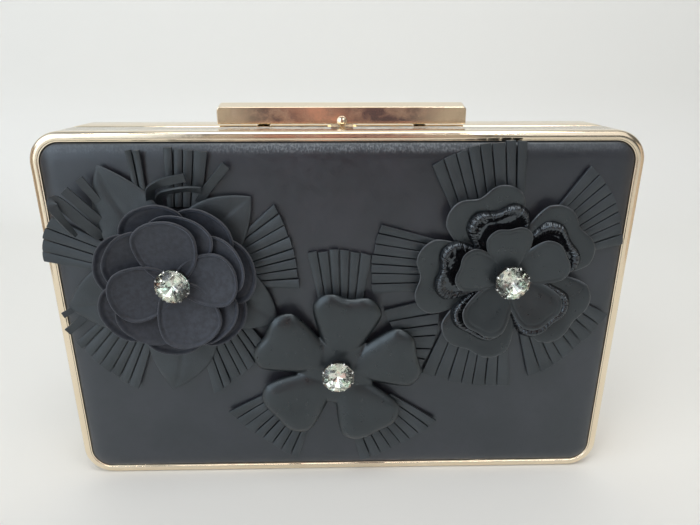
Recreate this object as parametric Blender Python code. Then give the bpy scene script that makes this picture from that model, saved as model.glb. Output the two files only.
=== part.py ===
# Hard box clutch bag with three leather flowers on its front panel.
# Metres, +Z up. The bag stands on its bottom edge, its front looks along -Y.

import math

import bmesh
import bpy
from mathutils import Matrix, Vector

MM = 0.001
GAP = 0.3 * MM                      # clearance between pieces that touch

# Case, seen from the front
OPENING_WIDTH = 176.0 * MM          # leather panel opening in each frame
OPENING_HEIGHT = 113.5 * MM
OPENING_RADIUS = 6.5 * MM
BORDER = 3.0 * MM                   # frame metal around the opening
HALF_DEPTH = 15.0 * MM              # frame lip to parting plane, each half
CASE_HEIGHT = OPENING_HEIGHT + 2 * BORDER
ARC_STEPS = 7                       # facets in each rounded corner

# Frame section: u runs outwards from the opening edge, v runs back from the lip
WALL = 1.5 * MM
LIP_WIDTH = 0.4 * MM                # thin step next to the panel
FACE_MIDDLE = 1.2 * MM              # highest line of the rounded face
FACE_FALL = 0.25 * MM
CREST_DEPTH = 1.6 * MM
GROOVE_HALF = 1.9 * MM              # V groove where the halves meet
GROOVE_FLOOR = 0.65 * MM
LEDGE = 2.0 * MM                    # inner ledge that carries the board
LEDGE_FRONT = 4.0 * MM
LEDGE_BACK = 4.8 * MM
WALL_INSIDE_START = 6.0 * MM

# Panel, board and lining of each half
PANEL_CROWN = 1.2 * MM              # padded leather stands proud of the lip
PANEL_BACK = 2.2 * MM
BOARD_FRONT = 2.5 * MM
BOARD_BACK = 3.7 * MM
LINING_FRONT = 5.8 * MM
LINING_THICKNESS = 0.6 * MM
LINING_INSET = 0.2 * MM
POCKET_HALF_WIDTH = 62.0 * MM
POCKET_LOW = BORDER + 3.0 * MM
POCKET_TOP = 74.0 * MM
POCKET_DIP = 4.0 * MM               # thumb dip in the middle of its mouth
POCKET_THICKNESS = 0.8 * MM

# Hinges along the bottom
HINGE_Z = 2.4 * MM
HINGE_X = 52.0 * MM
HINGE_LENGTH = 30.0 * MM
KNUCKLES = 5
KNUCKLE_RADIUS = 2.0 * MM
HINGE_BORE = 1.1 * MM
HINGE_PIN_RADIUS = 0.8 * MM
LEAF_LOW = 1.8 * MM
LEAF_HIGH = 2.6 * MM
LEAF_DEPTH = 8.4 * MM
TAB_REACH = 1.5 * MM                # how far a leaf's tab runs into its knuckle
TUCK = 0.05 * MM                    # keeps merged solids from sharing a face
BARREL_CLEARANCE = 2.7 * MM

# Clasp lever on top
CLASP_X = 0.6 * MM
BAR_LENGTH = 78.0 * MM
BAR_BOTTOM = CASE_HEIGHT + 0.5 * MM
BAR_FRONT_HEIGHT = 5.2 * MM
BAR_REAR_HEIGHT = 6.3 * MM
BAR_DEPTH = 5.0 * MM
BAR_CLIP = 1.2 * MM                 # clipped upper corners at the two ends
BAR_RELIEF = 1.2 * MM               # cut-away lower rear edge, so the bar can turn
PIVOT_ROOM = 1.6 * MM               # free height above and below the pivot
PIVOT_Y = 3.4 * MM
PIVOT_Z = CASE_HEIGHT + 2.7 * MM
BAR_BORE = 1.0 * MM
CLASP_PIN_RADIUS = 0.7 * MM
CLASP_PIN_LENGTH = 66.0 * MM
POCKET_ROOF = PIVOT_Z + PIVOT_ROOM
BRACKET_X = 25.0 * MM
BRACKET_WIDTH = 4.0 * MM
BRACKET_KNUCKLE = 4.0 * MM
BRACKET_RADIUS = 1.2 * MM
BRACKET_WEB = 0.7 * MM              # half thickness of the web under the knuckle
FOOT_FRONT = 2.4 * MM
FOOT_REAR = 9.0 * MM
FOOT_THICKNESS = 0.4 * MM
HOOK_WIDTH = 7.0 * MM
HOOK_FRONT = 0.9 * MM
HOOK_THICKNESS = 0.8 * MM
HOOK_LOW = CASE_HEIGHT - 1.2 * MM
KEEPER_LIP = CASE_HEIGHT - 1.5 * MM
KEEPER_ROOT = 4.0 * MM              # length of the tongue under the front rim
KEEPER_THICKNESS = 0.8 * MM
LATCH_SLACK = 1.1 * MM              # room beside the hook and the keeper
STUD_RADIUS = 1.6 * MM
STUD_HEIGHT = 1.0 * MM
STUD_Z = CASE_HEIGHT + 1.4 * MM
SPRING_TURNS = 4
SPRING_RADIUS = 1.25 * MM
SPRING_WIRE = 0.25 * MM
SPRING_PITCH = 0.95 * MM
SPRING_STEPS = 8                    # points in each turn
SPRING_FOOT = 1.6 * MM
SPRING_ARM = 0.45 * MM

# Leather trim
LEATHER = 0.9 * MM
LAYER_STEP = LEATHER + GAP
CUP_REACH = 25.0 * MM               # radius at which a layer's cup is stated
SLIT_HALF = 0.22 * MM
FAN_BAND = 1.6 * MM                 # uncut band that joins the strips of a fan
CURL_WIDTH = 3.2 * MM
CURL_RADIUS = 1.6 * MM
CURL_FACET = 35                     # degrees in each of the roll's facets
CURL_FACETS = 6
CURL_THICKNESS = 0.7 * LEATHER
LEFT_FLOWER = (-50.0 * MM, 75.8 * MM)
CENTRE_FLOWER = (-1.2 * MM, 43.1 * MM)
RIGHT_FLOWER = (51.6 * MM, 75.5 * MM)

# Stones in their claw settings
CUP_RADIUS = 5.2 * MM
CUP_HEIGHT = 3.4 * MM
CUP_DRAFT = 0.9 * MM                # how much the cup narrows to its base
CUP_WALL = 0.6 * MM
CUP_FLOOR = 0.7 * MM
CUP_HOLE = 2.2 * MM
CUP_SEGMENTS = 16
CLAW_RISE = 1.0 * MM
CLAW_LEAN = 0.75 * MM
CLAW_TAPER = 0.75
STONE_FACETS = 8
CULET = (0.5 * MM, 1.1 * MM)        # radius, and height above the setting's base
PAVILION = (2.3 * MM, 1.9 * MM)
GIRDLE_BACK = (4.05 * MM, 2.95 * MM)
GIRDLE_FRONT = (4.05 * MM, 3.3 * MM)
CROWN = (3.35 * MM, 4.35 * MM)
STONE_FRONT = 5.0 * MM              # table above the setting's base
TABLE = (2.3 * MM, STONE_FRONT)
LEFT_STONE_BASE = 6.3 * MM          # setting base above the panel

PANEL_Y = -(HALF_DEPTH + PANEL_CROWN)
FRONT_REACH = -PANEL_Y + LEFT_STONE_BASE + STONE_FRONT
PARTING_Y = (FRONT_REACH + PANEL_Y) / 2     # centres the whole bag on Y


def clear_scene():
    for item in list(bpy.data.objects):
        bpy.data.objects.remove(item, do_unlink=True)


def principled(name, colour, roughness, metallic=0.0):
    material = bpy.data.materials.new(name)
    material.use_nodes = True
    shader = material.node_tree.nodes["Principled BSDF"]
    shader.inputs["Base Color"].default_value = (*colour, 1.0)
    shader.inputs["Roughness"].default_value = roughness
    shader.inputs["Metallic"].default_value = metallic
    material.diffuse_color = (*colour, 1.0)
    return material


def empty(name, parent, location):
    item = bpy.data.objects.new(name, None)
    bpy.context.collection.objects.link(item)
    item.parent = parent
    item.location = location
    return item


def finish(name, bm, material, parent, location=(0.0, 0.0, 0.0), smooth=True):
    """Turns a bmesh into a named object under its parent, faces outwards."""
    bmesh.ops.recalc_face_normals(bm, faces=bm.faces)
    mesh = bpy.data.meshes.new(name)
    bm.to_mesh(mesh)
    bm.free()
    if smooth:
        mesh.shade_smooth()
        mesh.set_sharp_from_angle(angle=math.radians(35))
    item = bpy.data.objects.new(name, mesh)
    bpy.context.collection.objects.link(item)
    item.data.materials.append(material.copy())
    item.data.materials[0].name = name
    item.parent = parent
    item.location = location
    return item


def case_location(parent):
    """Where an object modelled in the case's frame sits under its parent."""
    return -parent.location if parent.parent is not None else Vector((0.0, 0.0, 0.0))


def loft(sections, ring=False):
    """Skins a row of equal loops; ring closes the last onto the first."""
    bm = bmesh.new()
    loops = [[bm.verts.new(point) for point in section] for section in sections]
    pairs = list(zip(loops, loops[1:]))
    if ring:
        pairs.append((loops[-1], loops[0]))
    for lower, upper in pairs:
        for i in range(len(lower)):
            j = (i + 1) % len(lower)
            bm.faces.new((lower[i], lower[j], upper[j], upper[i]))
    if not ring:
        bm.faces.new(loops[0])
        bm.faces.new(loops[-1])
    return bm


def extruded(outline, vector):
    """A flat outline pushed along a vector into a closed solid."""
    bm = bmesh.new()
    face = bm.faces.new([bm.verts.new(point) for point in outline])
    pushed = bmesh.ops.extrude_face_region(bm, geom=[face])["geom"]
    moved = [element for element in pushed if isinstance(element, bmesh.types.BMVert)]
    bmesh.ops.translate(bm, verts=moved, vec=vector)
    return bm


def box(low, high):
    bm = bmesh.new()
    size = Vector(high) - Vector(low)
    middle = (Vector(high) + Vector(low)) / 2
    matrix = Matrix.Translation(middle) @ Matrix.Diagonal((*size, 1.0))
    bmesh.ops.create_cube(bm, size=1.0, matrix=matrix)
    return bm


def rod(radius, x_low, x_high, y, z, segments):
    """A round bar along X."""
    bm = bmesh.new()
    turn = Matrix.Rotation(math.pi / 2, 4, "Y")
    matrix = Matrix.Translation(((x_low + x_high) / 2, y, z)) @ turn
    bmesh.ops.create_cone(bm, cap_ends=True, segments=segments, radius1=radius,
                          radius2=radius, depth=x_high - x_low, matrix=matrix)
    return bm


def cutter(name, bm, parent, location=(0.0, 0.0, 0.0)):
    bmesh.ops.recalc_face_normals(bm, faces=bm.faces)
    mesh = bpy.data.meshes.new(name)
    bm.to_mesh(mesh)
    bm.free()
    item = bpy.data.objects.new(name, mesh)
    bpy.context.collection.objects.link(item)
    item.parent = parent
    item.location = location
    item.hide_render = True
    item.display_type = "WIRE"
    return item


def combine(target, tool, operation="DIFFERENCE"):
    modifier = target.modifiers.new(tool.name, "BOOLEAN")
    modifier.operation = operation
    modifier.object = tool
    modifier.solver = "EXACT"


def rounded_rectangle(offset, y):
    """Loop around the panel opening, moved out by offset, at depth y."""
    half = OPENING_WIDTH / 2 + offset
    low = BORDER - offset
    high = BORDER + OPENING_HEIGHT + offset
    radius = OPENING_RADIUS + offset
    corners = ((half - radius, high - radius, 0), (-half + radius, high - radius, 90),
               (-half + radius, low + radius, 180), (half - radius, low + radius, 270))
    points = []
    for x, z, start in corners:
        for step in range(ARC_STEPS + 1):
            angle = math.radians(start + 90 * step / ARC_STEPS)
            points.append((x + radius * math.cos(angle), y, z + radius * math.sin(angle)))
    return points


def half_loop(side, u, v):
    """side is -1 for the front half and 1 for the back half."""
    return rounded_rectangle(u, side * (HALF_DEPTH - v))


# Case halves

def frame(name, side, material, parent):
    rim = HALF_DEPTH - GAP / 2
    profile = (
        (0.0, 0.45 * MM),
        (0.1 * MM, 0.25 * MM),
        (LIP_WIDTH, 0.25 * MM),
        (LIP_WIDTH + 0.15 * MM, 0.03 * MM),
        (FACE_MIDDLE, 0.0),
        (BORDER - 0.9 * MM, FACE_FALL),
        (BORDER - 0.35 * MM, FACE_FALL + 0.4 * MM),
        (BORDER - 0.07 * MM, CREST_DEPTH - 0.5 * MM),
        (BORDER, CREST_DEPTH),
        (BORDER, HALF_DEPTH - GROOVE_HALF - 0.8 * MM),
        (BORDER - 0.25 * MM, HALF_DEPTH - GROOVE_HALF),
        (GROOVE_FLOOR, rim),
        (0.1 * MM, rim),
        (0.1 * MM, rim - 1.15 * MM),
        (BORDER - WALL, rim - 2.35 * MM),
        (BORDER - WALL, WALL_INSIDE_START),
        (-LEDGE, LEDGE_BACK),
        (-LEDGE, LEDGE_FRONT),
        (0.0, LEDGE_FRONT),
    )
    bm = loft([half_loop(side, u, v) for u, v in profile], ring=True)
    return finish(name, bm, material, parent, case_location(parent))


def board(name, side, material, parent):
    bm = loft([half_loop(side, -GAP, BOARD_FRONT), half_loop(side, -GAP, BOARD_BACK)])
    return finish(name, bm, material, parent, case_location(parent))


def panel(name, side, material, parent):
    """Padded leather: tucked edge, quick shoulder, flat crown."""
    profile = (
        (GAP, PANEL_BACK),
        (GAP, 0.9 * MM),
        (0.8 * MM, 0.2 * MM),
        (2.0 * MM, -0.5 * MM),
        (3.6 * MM, -1.0 * MM),
        (5.5 * MM, -PANEL_CROWN),
    )
    bm = loft([half_loop(side, -inset, v) for inset, v in profile])
    return finish(name, bm, material, parent, case_location(parent))


def lining(name, side, material, parent):
    """Open tray: floor behind the board, walls up to the parting plane."""
    rim = HALF_DEPTH - GAP
    inner = LINING_INSET + LINING_THICKNESS
    profile = (
        (LINING_INSET, LINING_FRONT),
        (LINING_INSET, rim),
        (inner, rim),
        (inner, LINING_FRONT + LINING_THICKNESS),
    )
    bm = loft([half_loop(side, -inset, v) for inset, v in profile])
    return finish(name, bm, material, parent, case_location(parent))


def slip_pocket(material, parent):
    """Flat pocket that lies on the back lining, sewn on three sides."""
    rear = HALF_DEPTH - LINING_FRONT - LINING_THICKNESS - GAP
    outline = [
        (-POCKET_HALF_WIDTH, rear, POCKET_LOW),
        (POCKET_HALF_WIDTH, rear, POCKET_LOW),
        (POCKET_HALF_WIDTH, rear, POCKET_TOP),
        (0.0, rear, POCKET_TOP - POCKET_DIP),
        (-POCKET_HALF_WIDTH, rear, POCKET_TOP),
    ]
    bm = extruded(outline, (0.0, -POCKET_THICKNESS, 0.0))
    return finish("slip_pocket", bm, material, parent, case_location(parent))


# Hinges

def hinge_knuckle_span(centre, index):
    pitch = (HINGE_LENGTH + GAP) / KNUCKLES
    start = centre - HINGE_LENGTH / 2 + index * pitch
    return start, start + pitch - GAP


def hinge_leaf(name, centre, side, own_knuckles, material, parent):
    """Plate with every other knuckle of the barrel, bored for the pin."""
    edge = side * (KNUCKLE_RADIUS + 2 * GAP)
    rear = side * LEAF_DEPTH
    plate = box((centre - HINGE_LENGTH / 2, min(edge, rear), LEAF_LOW),
                (centre + HINGE_LENGTH / 2, max(edge, rear), LEAF_HIGH))
    leaf = finish(name, plate, material, parent, case_location(parent))
    for index in own_knuckles:
        low, high = hinge_knuckle_span(centre, index)
        barrel = cutter(f"{name}_knuckle_{index}",
                        rod(KNUCKLE_RADIUS, low, high, 0.0, HINGE_Z, 12),
                        parent, case_location(parent))
        tab_rear = side * (KNUCKLE_RADIUS + 4 * GAP)
        tab_front = side * TAB_REACH
        tab = cutter(f"{name}_tab_{index}",
                     box((low, min(tab_front, tab_rear), LEAF_LOW + TUCK),
                         (high, max(tab_front, tab_rear), LEAF_HIGH - TUCK)),
                     parent, case_location(parent))
        combine(leaf, barrel, "UNION")
        combine(leaf, tab, "UNION")
    bore = cutter(f"{name}_bore",
                  rod(HINGE_BORE, centre - HINGE_LENGTH, centre + HINGE_LENGTH, 0.0, HINGE_Z, 12),
                  parent, case_location(parent))
    combine(leaf, bore)
    return leaf


def hinge_pin(name, centre, material, parent):
    half = HINGE_LENGTH / 2
    bm = rod(HINGE_PIN_RADIUS, centre - half, centre + half, 0.0, HINGE_Z, 10)
    return finish(name, bm, material, parent, case_location(parent))


# Clasp

def clasp_bar(material, parent):
    """Lever bar: upright front, top that rises to the rear, clipped end corners."""
    rear = BAR_DEPTH
    outline = [
        (0.0, BAR_BOTTOM),
        (0.0, BAR_BOTTOM + BAR_FRONT_HEIGHT - 0.5 * MM),
        (0.45 * MM, BAR_BOTTOM + BAR_FRONT_HEIGHT),
        (rear - 0.6 * MM, BAR_BOTTOM + BAR_REAR_HEIGHT),
        (rear, BAR_BOTTOM + BAR_REAR_HEIGHT - 0.4 * MM),
        (rear, BAR_BOTTOM + BAR_RELIEF),
        (rear - BAR_RELIEF, BAR_BOTTOM),
    ]
    start = CLASP_X - BAR_LENGTH / 2
    bm = extruded([(start, y, z) for y, z in outline], (BAR_LENGTH, 0.0, 0.0))
    top = BAR_BOTTOM + BAR_FRONT_HEIGHT - 0.2 * MM
    ends = [edge for edge in bm.edges
            if abs(edge.verts[0].co.x - edge.verts[1].co.x) < 1e-6
            and min(vert.co.z for vert in edge.verts) > top]
    bmesh.ops.bevel(bm, geom=ends, offset=BAR_CLIP, segments=2, profile=0.5, affect="EDGES")
    bar = finish("clasp_bar", bm, material, parent, case_location(parent))
    where = case_location(parent)
    pocket = cutter("clasp_pocket",
                    box((CLASP_X - HOOK_WIDTH / 2 - GAP, HOOK_FRONT - GAP, CASE_HEIGHT),
                        (CLASP_X + HOOK_WIDTH / 2 + GAP, rear + MM, POCKET_ROOF)), parent, where)
    combine(bar, pocket)
    for side in (-1, 1):
        centre = CLASP_X + side * BRACKET_X
        half = BRACKET_KNUCKLE / 2 + GAP
        notch = cutter(f"clasp_notch_{side}",
                       box((centre - half, PIVOT_Y - PIVOT_ROOM, CASE_HEIGHT),
                           (centre + half, rear + MM, POCKET_ROOF)), parent, where)
        combine(bar, notch)
    reach = CLASP_PIN_LENGTH / 2 + GAP
    bore = cutter("clasp_bore", rod(BAR_BORE, CLASP_X - reach, CLASP_X + reach,
                                    PIVOT_Y, PIVOT_Z, 12), parent, where)
    combine(bar, bore)
    return bar


def clasp_hook(material, parent):
    """Tongue under the bar, its nose reaches down to the keeper's lip."""
    bm = box((CLASP_X - HOOK_WIDTH / 2, HOOK_FRONT, HOOK_LOW),
             (CLASP_X + HOOK_WIDTH / 2, HOOK_FRONT + HOOK_THICKNESS, POCKET_ROOF - GAP))
    return finish("clasp_hook", bm, material, parent, case_location(parent), smooth=False)


def clasp_stud(material, parent):
    """Plain domed stud on the bar's front."""
    steps = (
        (STUD_RADIUS, 0.0),
        (STUD_RADIUS, 0.25),
        (0.88 * STUD_RADIUS, 0.65),
        (0.6 * STUD_RADIUS, 0.9),
        (0.25 * STUD_RADIUS, 1.0),
    )
    sections = []
    for radius, rise in steps:
        y = -GAP - rise * STUD_HEIGHT
        sections.append([(CLASP_X + radius * math.cos(a), y, STUD_Z + radius * math.sin(a))
                         for a in turn_angles(14)])
    return finish("clasp_stud", loft(sections), material, parent, case_location(parent))


def clasp_bracket(name, side, material, parent):
    """Foot on the back frame with a knuckle for the lever's pin."""
    centre = CLASP_X + side * BRACKET_X
    foot_low = CASE_HEIGHT + GAP
    foot = box((centre - BRACKET_WIDTH / 2, FOOT_FRONT, foot_low),
               (centre + BRACKET_WIDTH / 2, FOOT_REAR, foot_low + FOOT_THICKNESS))
    bracket = finish(name, foot, material, parent, case_location(parent), smooth=False)
    half = BRACKET_KNUCKLE / 2
    where = case_location(parent)
    knuckle = cutter(f"{name}_knuckle", rod(BRACKET_RADIUS, centre - half, centre + half,
                                            PIVOT_Y, PIVOT_Z, 12), parent, where)
    web = cutter(f"{name}_web",
                 box((centre - half + TUCK, PIVOT_Y - BRACKET_WEB, foot_low + 2 * TUCK),
                     (centre + half - TUCK, PIVOT_Y + BRACKET_WEB, PIVOT_Z)), parent, where)
    bore = cutter(f"{name}_bore", rod(BAR_BORE, centre - 2 * half, centre + 2 * half,
                                      PIVOT_Y, PIVOT_Z, 10), parent, where)
    combine(bracket, web, "UNION")
    combine(bracket, knuckle, "UNION")
    combine(bracket, bore)
    return bracket


def clasp_pin(material, parent):
    half = CLASP_PIN_LENGTH / 2
    bm = rod(CLASP_PIN_RADIUS, CLASP_X - half, CLASP_X + half, PIVOT_Y, PIVOT_Z, 10)
    return finish("clasp_pin", bm, material, parent, case_location(parent))


def clasp_spring(material, parent):
    """Torsion spring round the pin; one leg on the frame, one under the bar."""
    start = CLASP_X - SPRING_TURNS * SPRING_PITCH / 2
    foot = CASE_HEIGHT + GAP + 2 * SPRING_WIRE
    points = [(start, PIVOT_Y + SPRING_RADIUS + SPRING_FOOT, foot),
              (start, PIVOT_Y + SPRING_RADIUS + 0.2 * MM, foot + 0.6 * MM)]
    turn_count = SPRING_TURNS * SPRING_STEPS + SPRING_STEPS // 4
    for step in range(turn_count + 1):
        angle = 2 * math.pi * step / SPRING_STEPS
        x = start + SPRING_PITCH * step / SPRING_STEPS
        points.append((x, PIVOT_Y + SPRING_RADIUS * math.cos(angle),
                       PIVOT_Z + SPRING_RADIUS * math.sin(angle)))
    points.append((points[-1][0], PIVOT_Y - SPRING_ARM, PIVOT_Z + SPRING_RADIUS))
    curve = bpy.data.curves.new("clasp_spring", "CURVE")
    curve.dimensions = "3D"
    spline = curve.splines.new("POLY")
    spline.points.add(len(points) - 1)
    for target, point in zip(spline.points, points):
        target.co = (*point, 1.0)
    curve.bevel_depth = SPRING_WIRE
    curve.bevel_resolution = 0
    curve.use_fill_caps = True
    item = bpy.data.objects.new("clasp_spring", curve)
    bpy.context.collection.objects.link(item)
    item.data.materials.append(material.copy())
    item.data.materials[0].name = "clasp_spring"
    item.parent = parent
    item.location = case_location(parent)
    gap = SPRING_PITCH - 2 * SPRING_WIRE
    print("clasp spring least gap between turns, mm:", round(gap / MM, 2))
    return item


def latch_keeper(material, parent):
    """Tongue under the front rim that crosses the parting plane, lip turned up."""
    top = CASE_HEIGHT - BORDER + 0.1 * MM - GAP
    low = top - KEEPER_THICKNESS
    lip_front = HOOK_FRONT + HOOK_THICKNESS + GAP + 0.1 * MM
    lip_rear = lip_front + KEEPER_THICKNESS
    outline = [
        (-KEEPER_ROOT, low),
        (lip_rear, low),
        (lip_rear, KEEPER_LIP),
        (lip_front, KEEPER_LIP),
        (lip_front, top),
        (-KEEPER_ROOT, top),
    ]
    start = CLASP_X - HOOK_WIDTH / 2
    bm = extruded([(start, y, z) for y, z in outline], (HOOK_WIDTH, 0.0, 0.0))
    return finish("latch_keeper", bm, material, parent, case_location(parent), smooth=False)


def cut_case(front_parts, back_parts, parent):
    """Room for the hinge barrels, the hook and the keeper."""
    for side in (-1, 1):
        centre = side * HINGE_X
        half = HINGE_LENGTH / 2 + GAP
        barrel = cutter(f"hinge_room_{side}",
                        box((centre - half, -BARREL_CLEARANCE, -MM),
                            (centre + half, BARREL_CLEARANCE, HINGE_Z + BARREL_CLEARANCE)), parent)
        for item in front_parts + back_parts:
            combine(item, barrel)
    wide = HOOK_WIDTH / 2 + LATCH_SLACK
    low = CASE_HEIGHT - BORDER - 2.0 * MM
    hook_room = cutter("hook_room", box((CLASP_X - wide, -MM, low),
                                        (CLASP_X + wide, 3.4 * MM, CASE_HEIGHT + MM)), parent)
    for item in back_parts:
        combine(item, hook_room)
    keeper_room = cutter("keeper_room",
                         box((CLASP_X - wide, -KEEPER_ROOT - 2 * GAP, low),
                             (CLASP_X + wide, MM, CASE_HEIGHT - BORDER)), parent)
    combine(front_parts[1], keeper_room)


# Flowers, each in its own frame: origin on the panel, height h runs to -Y

def turn_angles(count):
    return [2 * math.pi * step / count for step in range(count)]


def petal_angles(directions):
    """For each petal its direction and the slits on both sides, in degrees."""
    ordered = sorted(directions)
    rows = []
    for index, middle in enumerate(ordered):
        before = ordered[index - 1] - (360 if index == 0 else 0)
        after = ordered[(index + 1) % len(ordered)] + (360 if index == len(ordered) - 1 else 0)
        rows.append((middle, (before + middle) / 2, (middle + after) / 2))
    return rows


def round_petal(t, notch):
    """Radial share of a rounded petal, t from -1 to 1 across it, with a shallow heart notch."""
    edge = max(0.0, 1.0 - abs(t) ** 8) ** 0.87
    dip = notch * max(0.0, 1.0 - (t / 0.45) ** 2) ** 2
    return edge - dip


def pointed_leaf(t, notch):
    """Radial share of a pointed leaf."""
    return (1.0 - abs(t)) ** 0.8 * (1.0 - notch * abs(t))


def petal_outline(petals, slit, shape, notch, samples):
    """Polar outline of one cut leather layer: pairs of angle and radius."""
    points = []
    reach = dict(petals)
    for middle, start, end in petal_angles([direction for direction, _ in petals]):
        for t in samples:
            angle = middle + t * ((end - middle) if t > 0 else (middle - start))
            radius = slit + (reach[middle] - slit) * shape(t, notch)
            points.append((math.radians(angle), radius))
    return points


ROUND_SAMPLES = (-1.0, -0.95, -0.85, -0.65, -0.35, 0.0, 0.35, 0.65, 0.85, 0.95)
LEAF_SAMPLES = (-1.0, -0.6, -0.3, -0.1, 0.0, 0.1, 0.3, 0.6)


def petal_layer(name, petals, slit, base, cup, material, parent, pad=0.0, notch=0.08,
                shape=round_petal, samples=ROUND_SAMPLES):
    """One leather layer, its rim raised by cup at CUP_REACH from the middle, padded between."""
    petals = [(direction, reach * MM) for direction, reach in petals]
    outline = petal_outline(petals, slit * MM, shape, notch, samples)
    inner = slit * MM

    def ring(share, raised):
        points = []
        for angle, radius in outline:
            size = share * (inner + (radius - inner) * share)
            rise = cup * (size / CUP_REACH) ** 2 if share > shares[0] else 0.0
            height = base + rise + raised * (LEATHER + pad * 4 * share * (1 - share))
            points.append((size * math.cos(angle), -height, size * math.sin(angle)))
        return points

    shares = (0.4, 0.78, 1.0)
    sections = [ring(share, 0) for share in shares]
    sections += [ring(share, 1) for share in reversed(shares)]
    return finish(name, loft(sections), material, parent)


def arc_point(start, end, share, bulge):
    """Point on a shallow arc from start to end that bulges to the right of the chord."""
    chord = end - start
    side = Vector((chord.y, -chord.x)).normalized()
    return start + chord * share + side * bulge * 4 * share * (1 - share)


def fan(name, tips, roots, strips, material, parent, tip_bulge=1.5, root_bulge=0.0, missing=()):
    """Leather cut into strips. tips and roots are the two corners of each edge, in mm.

    missing are the numbers of strips that have been rolled away.
    """
    tip_a, tip_b = (Vector(point) * MM for point in tips)
    root_a, root_b = (Vector(point) * MM for point in roots)
    outward = ((tip_a + tip_b) - (root_a + root_b)).normalized()
    chord = tip_b - tip_a
    flip = 1 if Vector((chord.y, -chord.x)).dot(outward) > 0 else -1

    def on_tips(share):
        return arc_point(tip_a, tip_b, share, flip * tip_bulge * MM)

    def on_roots(share):
        return arc_point(root_a, root_b, share, flip * root_bulge * MM)

    outline = [on_roots(share) for share in (1.0, 0.5, 0.0)] + [on_tips(0.0)]
    for index in range(1, strips):
        share = index / strips
        along = (tip_b - tip_a).normalized() * SLIT_HALF
        tip = on_tips(share)
        root = on_roots(share)
        bottom = root + (tip - root).normalized() * FAN_BAND
        if index - 1 not in missing:
            outline.append(tip - along)
        outline.append(bottom)
        if index not in missing:
            outline.append(tip + along)
    outline.append(on_tips(1.0))
    bm = extruded([(point.x, -GAP, point.y) for point in outline], (0.0, -LEATHER, 0.0))
    return finish(name, bm, material, parent, smooth=False)


def curl(name, start, direction, length, material, parent, height):
    """Strip that leaves the leather flat and rolls back over itself."""
    along = Vector((math.cos(math.radians(direction)), math.sin(math.radians(direction))))
    across = Vector((-along.y, along.x)) * CURL_WIDTH / 2
    origin = Vector(start) * MM
    small = CURL_RADIUS - CURL_THICKNESS
    path = [(0.0, 0.0), (length, 0.0)]
    inner = [(0.0, CURL_THICKNESS), (length, CURL_THICKNESS)]
    for step in range(1, CURL_FACETS + 1):
        angle = math.radians(CURL_FACET * step)
        path.append((length + CURL_RADIUS * math.sin(angle), CURL_RADIUS * (1 - math.cos(angle))))
        inner.append((length + small * math.sin(angle), CURL_RADIUS - small * math.cos(angle)))
    outline = []
    for run, rise in path + inner[::-1]:
        point = origin + along * run - across
        outline.append((point.x, -(height + rise), point.y))
    bm = extruded(outline, (2 * across.x, 0.0, 2 * across.y))
    return finish(name, bm, material, parent)


def setting(name, base, material, parent):
    """Round cup with claws pulled up from its rim."""
    profile = (
        (CUP_HOLE, 0.0),
        (CUP_RADIUS - CUP_DRAFT, 0.0),
        (CUP_RADIUS, CUP_HEIGHT),
        (CUP_RADIUS - CUP_WALL, CUP_HEIGHT),
        (CUP_RADIUS - CUP_DRAFT - CUP_WALL, CUP_FLOOR),
        (CUP_HOLE, CUP_FLOOR),
    )
    sections = [[(radius * math.cos(a), -(base + height), radius * math.sin(a))
                 for a in turn_angles(CUP_SEGMENTS)] for radius, height in profile]
    bm = loft(sections, ring=True)
    rim = [face for face in bm.faces
           if all(abs(vert.co.y + base + CUP_HEIGHT) < 1e-6 for vert in face.verts)]
    rim.sort(key=lambda face: math.atan2(face.calc_center_median().z, face.calc_center_median().x))
    claws = bmesh.ops.extrude_discrete_faces(bm, faces=rim[::2])["faces"]
    for face in claws:
        middle = face.calc_center_median()
        inwards = Vector((-middle.x, 0.0, -middle.z)).normalized() * CLAW_LEAN
        bmesh.ops.translate(bm, verts=face.verts, vec=inwards + Vector((0.0, -CLAW_RISE, 0.0)))
        bmesh.ops.scale(bm, verts=face.verts, vec=(CLAW_TAPER, 1.0, CLAW_TAPER),
                        space=Matrix.Translation(-face.calc_center_median()))
    return finish(name, bm, material, parent, smooth=False)


def stone(name, base, material, parent):
    """Round brilliant: the flat facets that span its rings of corners."""
    half = math.pi / STONE_FACETS
    rings = (
        (CULET, STONE_FACETS, 0.0),
        (PAVILION, STONE_FACETS, half),
        (GIRDLE_BACK, 2 * STONE_FACETS, 0.0),
        (GIRDLE_FRONT, 2 * STONE_FACETS, 0.0),
        (CROWN, STONE_FACETS, half),
        (TABLE, STONE_FACETS, 0.0),
    )
    bm = bmesh.new()
    for (radius, height), count, twist in rings:
        for angle in turn_angles(count):
            bm.verts.new((radius * math.cos(angle + twist), -(base + height),
                          radius * math.sin(angle + twist)))
    bmesh.ops.convex_hull(bm, input=bm.verts)
    bmesh.ops.dissolve_limit(bm, angle_limit=math.radians(0.5), verts=bm.verts, edges=bm.edges)
    return finish(name, bm, material, parent, smooth=False)


def jewel(prefix, base, metal, crystal, parent):
    setting(f"{prefix}_setting", base, metal, parent)
    stone(f"{prefix}_stone", base, crystal, parent)


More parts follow.
